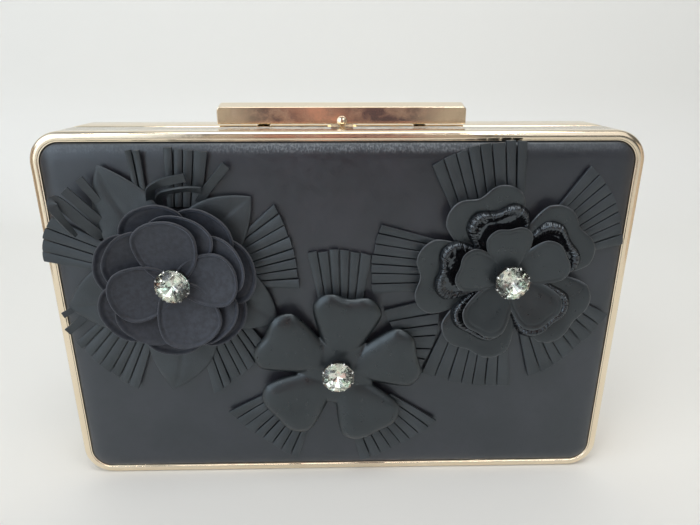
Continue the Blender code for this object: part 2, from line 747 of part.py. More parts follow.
def left_flower(parent, leather, suede, metal, crystal):
    """Camellia: pointed leaves, three rounds of petals, five fans, rolled strips."""
    fan("left_fan_top", ((-11.8, 38.4), (11.6, 39.3)), ((-9.6, 22.0), (8.4, 22.0)), 7, leather, parent,
        missing=(1, 2))
    fan("left_fan_side", ((-35.7, 19.2), (-40.3, 5.1)), ((-21.0, 11.0), (-23.0, 1.5)), 4, leather, parent)
    fan("left_fan_upper", ((30.2, 23.1), (36.7, -4.2)), ((18.5, 12.6), (22.0, -4.0)), 8, leather, parent)
    fan("left_fan_lower_left", ((-35.4, -21.9), (-17.2, -39.6)), ((-23.0, -11.5), (-10.5, -21.5)),
        7, leather, parent)
    fan("left_fan_lower_right", ((26.1, -24.1), (7.2, -41.5)), ((18.0, -13.0), (4.0, -23.0)),
        7, leather, parent)
    level = 2 * GAP + LEATHER
    petal_layer("left_leaves", ((122, 39.6), (52, 33.6), (332, 33.0), (262, 39.7), (195, 36.2)), 15.0,
                level, 0.0, leather, parent, notch=0.0, shape=pointed_leaf, samples=LEAF_SAMPLES)
    level += LAYER_STEP
    petal_layer("left_petals_outer", ((10, 24.6), (58, 24.6), (108, 24.4), (163, 24.6), (214, 26.6),
                                      (262, 24.4), (314, 24.4)), 16.0, level, 3.0 * MM, suede, parent,
                notch=0.0)
    level += LAYER_STEP
    petal_layer("left_petals_middle", ((35, 22.0), (80, 21.4), (150, 21.0), (235, 21.6), (300, 21.4)), 14.0,
                level, 4.8 * MM, suede, parent, notch=0.0)
    level += LAYER_STEP
    petal_layer("left_petals_inner", ((97, 19.8), (8, 19.2), (292, 20.4), (195, 19.4)), 10.0,
                level, 5.8 * MM, suede, parent, notch=0.03)
    level += LAYER_STEP
    jewel("left", level, metal, crystal, parent)
    rest = 2 * GAP + LEATHER
    curl("left_curl_top", (-6.0, 29.5), 10, 5.0 * MM, leather, parent, rest)
    curl("left_curl_middle", (-2.0, 35.2), -4, 5.0 * MM, leather, parent, rest)
    curl("left_curl_side", (-27.5, 12.0), 118, 4.0 * MM, leather, parent, rest)


def centre_flower(parent, leather, metal, crystal):
    """Five padded heart-shaped petals over three fans."""
    fan("centre_fan_top", ((-9.3, 39.8), (10.6, 38.8)), ((-5.6, 21.5), (7.6, 21.5)), 6, leather, parent)
    fan("centre_fan_lower_left", ((-37.2, -16.2), (-14.0, -35.7)), ((-21.0, -8.0), (-9.5, -20.5)),
        8, leather, parent)
    fan("centre_fan_lower_right", ((33.8, -20.9), (7.5, -36.9)), ((18.0, -10.4), (3.6, -21.0)),
        8, leather, parent)
    level = 2 * GAP + LEATHER
    petal_layer("centre_petals", ((82, 28.0), (150, 28.2), (219, 27.2), (300, 27.0), (13, 27.2)), 11.5,
                level, 1.4 * MM, leather, parent, pad=1.1 * MM)
    jewel("centre", level + LEATHER + 1.6 * MM, metal, crystal, parent)


def right_flower(parent, leather, patent, metal, crystal):
    """Three rounds of five petals, the middle one patent, over six fans."""
    fan("right_fan_top", ((-25.0, 34.3), (2.7, 41.0)), ((-17.5, 19.0), (3.5, 21.5)), 8, leather, parent, 2.5)
    fan("right_fan_upper", ((22.0, 34.4), (35.5, 9.6)), ((12.0, 19.5), (22.5, 6.7)), 8, leather, parent, 2.5)
    fan("right_fan_left", ((-39.2, 16.7), (-41.8, -6.1)), ((-23.0, 12.0), (-24.0, -5.0)), 7, leather, parent)
    fan("right_fan_lower_left", ((-38.3, -11.6), (-27.0, -31.4)), ((-21.0, -7.4), (-26.0, -33.4)),
        6, leather, parent, 0.5, -2.6)
    fan("right_fan_bottom", ((-25.2, -34.7), (4.8, -39.7)), ((-18.3, -17.5), (2.8, -22.0)),
        7, leather, parent)
    fan("right_fan_lower_right", ((10.6, -36.2), (33.9, -13.2)), ((5.8, -18.5), (21.5, -7.5)),
        8, leather, parent, 3.0)
    level = 2 * GAP + LEATHER
    petal_layer("right_petals_outer", ((113, 29.4), (38, 27.2), (326, 27.2), (246, 27.6), (179, 29.2)), 14.0,
                level, 1.8 * MM, leather, parent)
    level += LAYER_STEP
    petal_layer("right_petals_middle", ((105, 23.4), (34, 22.4), (315, 22.4), (240, 22.0), (172, 23.0)),
                11.0, level, 3.4 * MM, patent, parent)
    level += LAYER_STEP
    petal_layer("right_petals_inner", ((97, 17.6), (28, 18.2), (315, 18.8), (240, 19.4), (164, 17.6)), 8.0,
                level, 4.8 * MM, leather, parent)
    level += LAYER_STEP
    jewel("right", level, metal, crystal, parent)


def main():
    clear_scene()
    gold = principled("gold", (0.83, 0.66, 0.42), 0.18, 1.0)
    steel = principled("steel", (0.62, 0.62, 0.62), 0.35, 1.0)
    leather = principled("leather", (0.035, 0.035, 0.038), 0.45)
    suede = principled("suede", (0.022, 0.024, 0.03), 0.9)
    patent = principled("patent", (0.02, 0.02, 0.022), 0.08)
    cloth = principled("lining_cloth", (0.05, 0.05, 0.055), 0.75)
    card = principled("card", (0.35, 0.3, 0.24), 0.85)
    silver = principled("silver", (0.8, 0.8, 0.8), 0.2, 1.0)
    crystal = principled("crystal", (0.85, 0.9, 0.88), 0.03)

    back = empty("back_half", None, (0.0, PARTING_Y, 0.0))
    front = empty("front_half", back, (0.0, 0.0, HINGE_Z))
    clasp = empty("clasp", back, (0.0, PIVOT_Y, PIVOT_Z))

    back_frame = frame("back_frame", 1, gold, back)
    back_lining = lining("back_lining", 1, cloth, back)
    board("back_board", 1, card, back)
    panel("back_panel", 1, leather, back)
    slip_pocket(cloth, back)
    front_frame = frame("front_frame", -1, gold, front)
    front_lining = lining("front_lining", -1, cloth, front)
    board("front_board", -1, card, front)
    panel("front_panel", -1, leather, front)
    cut_case([front_frame, front_lining], [back_frame, back_lining], back)

    for label, centre in (("left", -HINGE_X), ("right", HINGE_X)):
        hinge_leaf(f"hinge_back_leaf_{label}", centre, 1, (0, 2, 4), steel, back)
        hinge_leaf(f"hinge_front_leaf_{label}", centre, -1, (1, 3), steel, front)
        hinge_pin(f"hinge_pin_{label}", centre, steel, back)

    clasp_bar(gold, clasp)
    clasp_hook(steel, clasp)
    clasp_stud(gold, clasp)
    clasp_bracket("clasp_bracket_left", -1, gold, back)
    clasp_bracket("clasp_bracket_right", 1, gold, back)
    clasp_pin(steel, back)
    clasp_spring(steel, back)
    latch_keeper(steel, front)

    stems = {}
    for label, (x, z) in (("left", LEFT_FLOWER), ("centre", CENTRE_FLOWER), ("right", RIGHT_FLOWER)):
        stems[label] = empty(f"{label}_flower", front, (x, PANEL_Y, z - HINGE_Z))
    left_flower(stems["left"], leather, suede, silver, crystal)
    centre_flower(stems["centre"], leather, silver, crystal)
    right_flower(stems["right"], leather, patent, silver, crystal)


main()
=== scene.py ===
import math
import random

import bmesh
import bpy
from mathutils import Matrix, Vector, noise


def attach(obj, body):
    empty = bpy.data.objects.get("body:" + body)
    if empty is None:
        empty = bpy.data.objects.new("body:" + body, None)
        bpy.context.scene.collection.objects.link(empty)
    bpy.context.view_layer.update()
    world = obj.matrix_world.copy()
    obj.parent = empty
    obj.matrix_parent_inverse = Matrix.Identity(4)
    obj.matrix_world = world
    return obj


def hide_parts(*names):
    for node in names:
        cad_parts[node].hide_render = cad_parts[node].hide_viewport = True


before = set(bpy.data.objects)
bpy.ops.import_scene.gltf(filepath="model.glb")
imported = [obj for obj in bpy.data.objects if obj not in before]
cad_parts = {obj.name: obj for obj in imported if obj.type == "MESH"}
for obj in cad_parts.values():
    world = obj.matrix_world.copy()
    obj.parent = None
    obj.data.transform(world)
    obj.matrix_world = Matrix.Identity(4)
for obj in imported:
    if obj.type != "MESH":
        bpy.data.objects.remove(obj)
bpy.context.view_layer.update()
print("frame loaded")

mm = 0.001
# turns what points up to the front
forwards = Matrix.Rotation(math.pi / 2, 4, "X")

# sizes that both halves share, in mm
bag = {
    "width": 182.0,
    "height": 119.5,
    "cornerRadius": 9.5,
    "border": 3.0,
    "halfDepth": 15.0,
    "partingY": 5.65,
    "panelY": -10.55,
}


def turnSide(side, fromLip):
    # world Y of a depth behind the lip; side is -1 in front, 1 at the back
    return (bag["partingY"] + side * (bag["halfDepth"] - fromLip)) * mm


# small helpers for pieces

def newObject(name, bm):
    mesh = bpy.data.meshes.new(name)
    bm.to_mesh(mesh)
    bm.free()
    made = bpy.data.objects.new(name, mesh)
    bpy.context.scene.collection.objects.link(made)
    return made


def underscored(name):
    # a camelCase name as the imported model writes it
    return "".join("_" + letter.lower() if letter.isupper() else letter for letter in name)


def makePiece(name, bm, surfaces, body="front_half", smoothAngle=35, node=None):
    # the imported node that the piece stands in for is hidden, called after the piece unless it is given;
    # the first surface's name, without the .001 that Blender puts after a name the imported model has too, is
    # worked out but not used
    bmesh.ops.recalc_face_normals(bm, faces=bm.faces)
    piece = newObject(name, bm)
    for surface in surfaces:
        piece.data.materials.append(surface)
    if smoothAngle:
        piece.data.shade_smooth()
        if smoothAngle < 180:
            piece.data.set_sharp_from_angle(angle=math.radians(smoothAngle))
    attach(piece, body)
    underscored(surfaces[0].name.split(".")[0])
    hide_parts(node or underscored(name))
    return piece


def roundEdges(piece, width, segments=2, angle=30):
    bevel = piece.modifiers.new("roundEdges", "BEVEL")
    bevel.width = width * mm
    bevel.segments = segments
    bevel.limit_method = "ANGLE"
    bevel.angle_limit = math.radians(angle)
    bevel.harden_normals = True


def applyModifiers(piece):
    bpy.context.view_layer.update()
    result = bpy.data.meshes.new_from_object(piece.evaluated_get(bpy.context.evaluated_depsgraph_get()))
    piece.modifiers.clear()
    piece.data = result


def cutAway(piece, boxes):
    # takes boxes out of a piece; the Y of their corners is measured from the parting plane
    for box in boxes:
        bm = bmesh.new()
        low, high = (Vector((x, y + bag["partingY"], z)) for x, y, z in box)
        middle = (low + high) / 2 * mm
        size = (high - low) * mm
        bmesh.ops.create_cube(bm, size=1.0, matrix=Matrix.Translation(middle) @ Matrix.Diagonal((*size, 1.0)))
        tool = newObject("cutterBox", bm)
        cut = piece.modifiers.new("cut", "BOOLEAN")
        cut.operation = "DIFFERENCE"
        cut.solver = "EXACT"
        cut.object = tool
        applyModifiers(piece)
        bpy.data.objects.remove(tool)


def bevelEdges(bm, edges, width, segments):
    bmesh.ops.bevel(bm, geom=edges, offset=width * mm, segments=segments, profile=0.5, affect="EDGES",
                    material=-1)


def pushFace(bm, face, inset, push):
    # one step of a section: in from the edge by inset, out along the normal by push
    if inset > 0:
        bmesh.ops.inset_region(bm, faces=[face], thickness=inset * mm, depth=push * mm, use_even_offset=True)
        return face
    made = bmesh.ops.extrude_discrete_faces(bm, faces=[face])["faces"][0]
    bmesh.ops.translate(bm, verts=made.verts, vec=made.normal * push * mm)
    return made


def roundedBlock(bm, inset, nearY, farY, segments=18):
    # block with the outline of the case, moved in by inset
    width = (bag["width"] - 2 * inset) * mm
    height = (bag["height"] - 2 * inset) * mm
    middle = Vector((0.0, (nearY + farY) / 2, bag["height"] / 2 * mm))
    size = Matrix.Diagonal((width, abs(farY - nearY), height, 1.0))
    bmesh.ops.create_cube(bm, size=1.0, matrix=Matrix.Translation(middle) @ size)
    corners = [e for e in bm.edges if abs(e.verts[0].co.y - e.verts[1].co.y) > 1e-6]
    bevelEdges(bm, corners, bag["cornerRadius"] - inset, segments)
    bm.normal_update()
    bm.faces.ensure_lookup_table()


def faceTowards(bm, direction):
    return max(bm.faces, key=lambda f: f.normal.dot(direction) * 10 + f.calc_area())


# materials

def feed(node, inputs):
    # link or set a node's sockets by name or number; a colour may leave out its alpha
    for key, value in inputs.items():
        socket = node.inputs[key]
        if isinstance(value, bpy.types.NodeSocket):
            node.id_data.links.new(value, socket)
        elif socket.type == "RGBA":
            socket.default_value = (*value[:3], 1.0)
        else:
            socket.default_value = value


def newMaterial(name, colour, roughness, metallic=0.0):
    material = bpy.data.materials.new(name)
    material.use_nodes = True
    shader = material.node_tree.nodes["Principled BSDF"]
    feed(shader, {"Base Color": colour, "Roughness": roughness, "Metallic": metallic})
    material.diffuse_color = (*colour, 1.0)
    return material, material.node_tree, shader


def addNode(tree, kind, settings=None, **inputs):
    made = tree.nodes.new(kind)
    for key, value in (settings or {}).items():
        setattr(made, key, value)
    feed(made, inputs)
    return made


def objectCoords(tree, stretch=(1.0, 1.0, 1.0)):
    coords = addNode(tree, "ShaderNodeTexCoord").outputs["Object"]
    if stretch == (1.0, 1.0, 1.0):
        return coords
    return addNode(tree, "ShaderNodeMapping", Vector=coords, Scale=stretch).outputs["Vector"]


def noiseAt(tree, coords, size, detail=2.0, rough=0.5):
    # size is the feature's size in mm
    return addNode(tree, "ShaderNodeTexNoise", Vector=coords, Scale=1.0 / (size * mm), Detail=detail,
                   Roughness=rough).outputs["Fac"]


def remap(tree, value, low, high, toLow, toHigh):
    made = addNode(tree, "ShaderNodeMapRange", {"interpolation_type": "SMOOTHSTEP"}, Value=value)
    feed(made, {"From Min": low, "From Max": high, "To Min": toLow, "To Max": toHigh})
    return made.outputs["Result"]


def sums(tree, operation, a, b):
    made = addNode(tree, "ShaderNodeMath", {"operation": operation})
    feed(made, {0: a, 1: b})
    return made.outputs[0]


def mixColours(tree, factor, first, second):
    # sockets 6 and 7 are the two colours, output 2 their mixture
    made = addNode(tree, "ShaderNodeMix", {"data_type": "RGBA"})
    feed(made, {0: factor, 6: first, 7: second})
    return made.outputs[2]


def attribute(tree, name):
    return addNode(tree, "ShaderNodeAttribute", {"attribute_name": name}).outputs["Fac"]


def addBump(tree, shader, height, depth, strength=1.0, under=None):
    # depth in mm
    bump = addNode(tree, "ShaderNodeBump", Height=height, Strength=strength, Distance=depth * mm)
    if under is not None:
        feed(bump, {"Normal": under})
    feed(shader, {"Normal": bump.outputs["Normal"]})
    return bump.outputs["Normal"]


# edge is a colour painted along the petal rims as a painted highlight; None leaves the rims plain
leatherLooks = {
    "panelLeather": {"dark": (0.010, 0.010, 0.014), "light": (0.018, 0.017, 0.023), "roughness": 0.36,
                     "grain": 0.42, "grainDepth": 0.010, "creaseDepth": 0.04, "edge": None, "gloss": 0.95},
    "petalLeather": {"dark": (0.008, 0.010, 0.011), "light": (0.014, 0.017, 0.019), "roughness": 0.33,
                     "grain": 0.34, "grainDepth": 0.008, "creaseDepth": 0.05, "edge": (0.075, 0.078, 0.084),
                     "gloss": 0.78},
    "fringeLeather": {"dark": (0.009, 0.011, 0.013), "light": (0.024, 0.028, 0.032), "roughness": 0.44,
                      "grain": 0.46, "grainDepth": 0.030, "creaseDepth": 0.05, "edge": None, "gloss": 0.85},
}


def leatherSurface(name):
    look = leatherLooks[name]
    material, tree, shader = newMaterial(name, look["light"], look["roughness"])
    coords = objectCoords(tree)
    tone = remap(tree, noiseAt(tree, coords, 14.0, 3.0), 0.3, 0.7, 0.0, 1.0)
    colour = mixColours(tree, tone, look["dark"], look["light"])
    # the rims are painted lighter, a painted highlight along them, broken up by noise
    if look["edge"]:
        rimHighlight = sums(tree, "MULTIPLY", remap(tree, attribute(tree, "rim"), 0.955, 0.995, 0.0, 1.0),
                    remap(tree, noiseAt(tree, coords, 2.5, 2.0), 0.35, 0.65, 0.35, 1.0))
        colour = mixColours(tree, rimHighlight, colour, look["edge"])
    cells = addNode(tree, "ShaderNodeTexVoronoi", {"feature": "DISTANCE_TO_EDGE"}, Vector=coords,
                    Scale=1.0 / (look["grain"] * mm)).outputs["Distance"]
    grain = remap(tree, cells, 0.0, 0.35, 0.0, 1.0)
    dull = remap(tree, noiseAt(tree, coords, 2.6, 4.0, 0.65), 0.25, 0.75, look["roughness"] - 0.08,
                 look["roughness"] + 0.10)
    feed(shader, {"Base Color": colour, "Roughness": dull, "Specular IOR Level": look["gloss"],
                  "Specular Tint": (0.82, 0.93, 1.0)})
    creases = addBump(tree, shader, noiseAt(tree, coords, 6.0, 4.0, 0.6), look["creaseDepth"])
    addBump(tree, shader, grain, look["grainDepth"], 0.8, creases)
    return material, tree, shader, coords


def panelSurface():
    # smooth hide, drawn into fine crinkles where it turns down into the frame; that band is painted lighter
    # as a highlight
    material, tree, shader, coords = leatherSurface("panelLeather")
    parts = addNode(tree, "ShaderNodeSeparateXYZ", Vector=coords)
    across, height = parts.outputs["X"], parts.outputs["Z"]
    band = sums(tree, "MULTIPLY", remap(tree, height, 0.1128, 0.1143, 0.0, 1.0),
                remap(tree, height, 0.1157, 0.1165, 1.0, 0.2))
    band = sums(tree, "MULTIPLY", band, remap(tree, across, -0.050, -0.015, 0.25, 1.0))
    band = sums(tree, "MULTIPLY", band, remap(tree, across, 0.030, 0.055, 1.0, 0.25))
    crinkle = noiseAt(tree, objectCoords(tree, (1.0, 1.0, 0.6)), 0.55, 3.0, 0.6)
    under = shader.inputs["Normal"].links[0].from_socket
    addBump(tree, shader, sums(tree, "MULTIPLY", crinkle, band), 0.26, 1.0, under)
    # painted highlight: the crinkled band is mixed towards a pale grey
    plain = shader.inputs["Base Color"].links[0].from_socket
    rubbedAndHighlight = sums(tree, "MULTIPLY", band, remap(tree, crinkle, 0.45, 0.62, 0.15, 1.0))
    feed(shader, {"Base Color": mixColours(tree, rubbedAndHighlight, plain, (0.11, 0.114, 0.122))})
    return material


def suedeSurface():
    material, tree, shader = newMaterial("suede", (0.024, 0.026, 0.033), 0.62)
    coords = objectCoords(tree)
    nap = remap(tree, noiseAt(tree, coords, 1.6, 5.0, 0.7), 0.3, 0.7, 0.0, 1.0)
    colour = mixColours(tree, nap, (0.013, 0.016, 0.022), (0.029, 0.034, 0.046))
    # the very rim is painted lighter grey, a painted highlight along it
    edge = remap(tree, attribute(tree, "rim"), 0.97, 1.0, 0.0, 0.8)
    colour = mixColours(tree, edge, colour, (0.055, 0.055, 0.058))
    feed(shader, {"Base Color": colour, "Sheen Weight": 0.34, "Sheen Roughness": 0.5,
                  "Sheen Tint": (0.55, 0.62, 0.8)})
    addBump(tree, shader, noiseAt(tree, coords, 0.28, 4.0, 0.7), 0.03)
    return material


def patentSurface():
    # black and wet looking, drawn into fine gathers at the rim of each petal
    material, tree, shader = newMaterial("patentLeather", (0.006, 0.006, 0.007), 0.07)
    coords = objectCoords(tree)
    smear = remap(tree, noiseAt(tree, coords, 3.0, 3.0), 0.3, 0.7, 0.03, 0.09)
    colour = mixColours(tree, noiseAt(tree, coords, 6.0, 2.0), (0.004, 0.004, 0.005), (0.009, 0.009, 0.010))
    feed(shader, {"Base Color": colour, "Roughness": smear, "Specular IOR Level": 0.95,
                  "Specular Tint": (0.78, 0.90, 1.0)})
    edge = attribute(tree, "rim")
    around = sums(tree, "MULTIPLY", attribute(tree, "around"), 11.0)
    place = addNode(tree, "ShaderNodeCombineXYZ", X=around, Y=edge).outputs["Vector"]
    folds = addNode(tree, "ShaderNodeTexNoise", Vector=place, Scale=1.0, Detail=2.0).outputs["Fac"]
    gathers = sums(tree, "MULTIPLY", folds, remap(tree, edge, 0.62, 0.93, 0.0, 1.0))
    addBump(tree, shader, gathers, 1.2, 1.0, addBump(tree, shader, noiseAt(tree, coords, 4.0, 2.0), 0.7))
    return material


def goldSurface(name):
    # thin polished plate: faint waves, rubbed patches and hairlines along the length
    material, tree, shader = newMaterial(name, (0.87, 0.75, 0.57), 0.14, 1.0)
    coords = objectCoords(tree)
    tint = mixColours(tree, noiseAt(tree, coords, 22.0, 2.0), (0.84, 0.71, 0.52), (0.91, 0.80, 0.63))
    rubbedAndHighlight = remap(tree, noiseAt(tree, coords, 4.0, 4.0, 0.6), 0.35, 0.7, 0.09, 0.22)
    feed(shader, {"Base Color": tint, "Roughness": rubbedAndHighlight})
    waves = addBump(tree, shader, noiseAt(tree, coords, 18.0, 1.0), 0.03)
    hairlines = noiseAt(tree, objectCoords(tree, (0.03, 1.0, 1.0)), 0.25, 2.0)
    addBump(tree, shader, hairlines, 0.0015, 0.6, waves)
    return material


# surfaces with one noise: colour, roughness, metallic; the noise's stretch, size in mm, detail, roughness;
# and what it changes, if anything: colour between two, roughness between two, bump in mm
plainLooks = {
    "hingeSteel": ((0.60, 0.60, 0.60), 0.32, 1.0, ((0.05, 1.0, 1.0), 0.12, 2.0, 0.5),
                   None, (0.24, 0.42), 0.004),
    "settingSilver": ((0.66, 0.66, 0.64), 0.2, 1.0, ((1.0, 1.0, 1.0), 0.8, 3.0, 0.5),
                      None, (0.16, 0.34), None),
    # the cup under a stone, painted dark all over as the shade it sits in under the stone
    "cupMetal": ((0.10, 0.10, 0.10), 0.45, 1.0, ((1.0, 1.0, 1.0), 1.2, 3.0, 0.5),
                 ((0.05, 0.05, 0.05), (0.16, 0.16, 0.155)), None, None),
    "boardCard": ((0.35, 0.30, 0.24), 0.85, 0.0, ((1.0, 1.0, 1.0), 0.6, 5.0, 0.7),
                  ((0.27, 0.23, 0.18), (0.42, 0.36, 0.29)), None, 0.03),
}


def plainSurface(name):
    colour, roughness, metallic, (stretch, size, detail, rough), colours, dull, bump = plainLooks[name]
    material, tree, shader = newMaterial(name, colour, roughness, metallic)
    pattern = noiseAt(tree, objectCoords(tree, stretch), size, detail, rough)
    if colours:
        feed(shader, {"Base Color": mixColours(tree, pattern, *colours)})
    if dull:
        feed(shader, {"Roughness": remap(tree, pattern, 0.3, 0.7, *dull)})
    if bump:
        addBump(tree, shader, pattern, bump)
    return material


def clothSurface():
    # plain weave of the lining, threads across and up
    material, tree, shader = newMaterial("liningCloth", (0.045, 0.045, 0.050), 0.8)
    coords = objectCoords(tree)
    threads = [addNode(tree, "ShaderNodeTexWave", {"wave_type": "BANDS", "bands_direction": direction},
                       Vector=coords, Scale=620.0, Distortion=0.6, Detail=1.0).outputs["Fac"]
               for direction in ("X", "Z")]
    weave = sums(tree, "MAXIMUM", *threads)
    feed(shader, {"Base Color": mixColours(tree, weave, (0.020, 0.020, 0.024), (0.060, 0.060, 0.067)),
                  "Sheen Weight": 0.15})
    addBump(tree, shader, weave, 0.05)
    return material


def crystalSurface():
    material, tree, shader = newMaterial("crystal", (0.97, 0.99, 0.98), 0.0)
    flash = remap(tree, noiseAt(tree, objectCoords(tree), 1.3, 0.0), 0.4, 0.62, 0.0, 1.0)
    feed(shader, {"Base Color": mixColours(tree, flash, (1.0, 0.93, 0.93), (0.90, 1.0, 0.95)),
                  "Transmission Weight": 1.0, "IOR": 1.55})
    return material


def foilSurface():
    # mirror foil on the back of each stone, its cells painted as glints and reflections: pale, tinted and
    # dark patches
    material, tree, shader = newMaterial("stoneFoil", (0.88, 0.89, 0.88), 0.10, 1.0)
    cells = addNode(tree, "ShaderNodeTexVoronoi", Vector=objectCoords(tree), Scale=1.0 / (1.5 * mm))
    parts = addNode(tree, "ShaderNodeSeparateColor", Color=cells.outputs["Color"])
    cool = mixColours(tree, parts.outputs["Green"], (0.96, 0.76, 0.68), (0.70, 0.95, 0.82))
    glint = remap(tree, parts.outputs["Red"], 0.05, 0.30, 0.0, 1.0)
    pale = mixColours(tree, remap(tree, parts.outputs["Blue"], 0.6, 0.8, 0.0, 1.0), (0.97, 1.0, 0.93), cool)
    feed(shader, {"Base Color": mixColours(tree, glint, (0.36, 0.38, 0.37), pale)})
    return material


panelLeather = panelSurface()
petalLeather = leatherSurface("petalLeather")[0]
fringeLeather = leatherSurface("fringeLeather")[0]
suede = suedeSurface()
patentLeather = patentSurface()
frameGold = goldSurface("frameGold")
claspGold = goldSurface("claspGold")
hingeSteel = plainSurface("hingeSteel")
settingSilver = plainSurface("settingSilver")
cupMetal = plainSurface("cupMetal")
liningCloth = clothSurface()
boardCard = plainSurface("boardCard")
crystal = crystalSurface()
stoneFoil = foilSurface()
print("materials made")


# case: metal rims, padded panels and cloth trays

rim = {
    # section from the side wall to the lip: distance from the opening, depth behind the lip
    "front": ((3.0, 1.6), (2.985, 1.3), (2.93, 1.02), (2.8, 0.74), (2.58, 0.48), (2.28, 0.27), (1.9, 0.12),
              (1.5, 0.03), (1.1, 0.0), (0.75, 0.02), (0.55, 0.07), (0.42, 0.25), (0.12, 0.25), (0.0, 0.45)),
    # section from the side wall into the groove where the halves meet
    "parting": ((3.0, 12.3), (2.75, 13.1), (0.65, 14.85), (0.1, 14.85)),
    "ledgeDepth": 4.6,
    "ledge": 1.0,
    "edgeRadius": 0.06,
}
hingeRooms = [((x - 15.3, -2.7, -1.0), (x + 15.3, 2.7, 5.1)) for x in (-52.0, 52.0)]
hookRoom = ((-4.0, -1.0, 114.5), (5.2, 3.4, 120.5))
keeperRoom = ((-4.0, -4.6, 114.5), (5.2, 1.0, 116.5))


def makeRim(name, side, body, node, rooms):
    bm = bmesh.new()
    roundedBlock(bm, 0.0, turnSide(side, rim["front"][0][1]), turnSide(side, rim["parting"][0][1]))
    ends = []
    for key, direction in (("front", side), ("parting", -side)):
        face = faceTowards(bm, Vector((0.0, direction, 0.0)))
        section = rim[key]
        for (u, v), (nextU, nextV) in zip(section, section[1:]):
            outwards = (v - nextV) if key == "front" else (nextV - v)
            face = pushFace(bm, face, u - nextU, outwards)
        if key == "front":
            face = pushFace(bm, face, 0.0, -(rim["ledgeDepth"] - section[-1][1]))
        else:
            face = pushFace(bm, face, 0.0, -(section[-1][1] - rim["ledgeDepth"] - rim["ledge"]))
        ends.append(face)
    loops = [edge for face in ends for edge in face.edges]
    bmesh.ops.delete(bm, geom=ends, context="FACES_ONLY")
    bmesh.ops.bridge_loops(bm, edges=loops)
    piece = makePiece(name, bm, [frameGold], body, node=node)
    cutAway(piece, rooms)
    roundEdges(piece, rim["edgeRadius"], 3, 24)


makeRim("frontRim", -1, "front_half", "front_frame", hingeRooms)
makeRim("backRim", 1, "back_half", "back_frame", hingeRooms + [hookRoom])

panel = {
    # inset from the opening, depth behind the lip: tucked edge, quick shoulder, padded crown
    "section": ((0.15, 2.2), (0.15, 0.7), (0.25, 0.3), (0.5, 0.0), (1.0, -0.32), (1.7, -0.62), (2.6, -0.88),
                (3.6, -1.06), (4.6, -1.16), (5.6, -1.2)),
    # axis, start, span and steps of the grid that lets the crown wave
    "grid": ((0, -88.0, 176.0, 34), (2, 3.0, 113.5, 22)),
    "wave": 0.10,
    "waveLength": 34.0,
    "flatEdge": 7.0,
    "waveFade": 8.0,
}


def makePanel(name, side, body):
    bm = bmesh.new()
    section = panel["section"]
    start = bag["border"] + section[0][0]
    roundedBlock(bm, start, turnSide(side, section[1][1]), turnSide(side, section[0][1]))
    face = faceTowards(bm, Vector((0.0, side, 0.0)))
    for (inset, depth), (nextInset, nextDepth) in zip(section[1:], section[2:]):
        face = pushFace(bm, face, nextInset - inset, depth - nextDepth)
    # the padding waves a little under the hide, away from the frame
    for axis, start, span, steps in panel["grid"]:
        for step in range(1, steps):
            place, along = Vector(), Vector()
            place[axis] = (start + span * step / steps) * mm
            along[axis] = 1
            whole = bm.verts[:] + bm.edges[:] + bm.faces[:]
            bmesh.ops.bisect_plane(bm, geom=whole, plane_co=place, plane_no=along)
    crown = turnSide(side, section[-1][1])
    (_, left, across, _), (_, bottom, up, _) = panel["grid"]
    for vert in bm.verts:
        if abs(vert.co.y - crown) < 1e-6:
            edge = min((left + across) * mm - abs(vert.co.x), vert.co.z - bottom * mm,
                       (bottom + up) * mm - vert.co.z)
            settle = min(1.0, max(0.0, (edge - panel["flatEdge"] * mm) / (panel["waveFade"] * mm)))
            wave = noise.noise(vert.co / (panel["waveLength"] * mm)) - 0.35
            vert.co.y += side * panel["wave"] * mm * wave * settle
    piece = makePiece(name, bm, [panelLeather], body, 60)


makePanel("frontPanel", -1, "front_half")
makePanel("backPanel", 1, "back_half")

tray = {"inset": 0.2, "floor": 5.8, "rim": 14.7, "cloth": 0.6}


def makeTray(name, side, body, rooms):
    bm = bmesh.new()
    outer = bag["border"] + tray["inset"]
    roundedBlock(bm, outer, turnSide(side, tray["floor"]), turnSide(side, tray["rim"]), 10)
    mouth = faceTowards(bm, Vector((0.0, -side, 0.0)))
    mouth = pushFace(bm, mouth, tray["cloth"], 0.0)
    pushFace(bm, mouth, 0.0, -(tray["rim"] - tray["floor"] - tray["cloth"]))
    piece = makePiece(name, bm, [liningCloth], body)
    cutAway(piece, rooms)
    roundEdges(piece, 0.15, 2, 40)


makeTray("frontLining", -1, "front_half", hingeRooms + [keeperRoom])
makeTray("backLining", 1, "back_half", hingeRooms + [hookRoom])

pocket = {
    "halfWidth": 62.0, "low": 6.0, "top": 74.0, "dip": 4.0, "dipWidth": 26.0, "depth": 8.3, "cloth": 0.8,
    "hem": 5.0, "sideHem": 2.0, "thin": 0.65, "hemThicker": 0.35, "flatArea": 8330.0,
}


def makePocket():
    bm = bmesh.new()
    bmesh.ops.create_cube(bm, size=1.0)
    bmesh.ops.subdivide_edges(bm, edges=bm.edges[:], cuts=23, use_grid_fill=True)
    for vert in bm.verts:
        across, thick, up = vert.co
        x = 2 * across * pocket["halfWidth"]
        mouth = pocket["top"] - pocket["dip"] * math.exp(-(x / pocket["dipWidth"]) ** 2)
        z = pocket["low"] + (up + 0.5) * (mouth - pocket["low"])
        hemmed = mouth - pocket["hem"] < z or abs(x) > pocket["halfWidth"] - pocket["sideHem"]
        puff = pocket["hemThicker"] if hemmed else 0.0
        y = pocket["depth"] - pocket["cloth"] * (0.5 - thick) * (pocket["thin"] + puff)
        vert.co = Vector((x, bag["partingY"] + y, z)) * mm
    piece = makePiece("slipPocket", bm, [liningCloth], "back_half")


makePocket()
print("case made")


# clasp

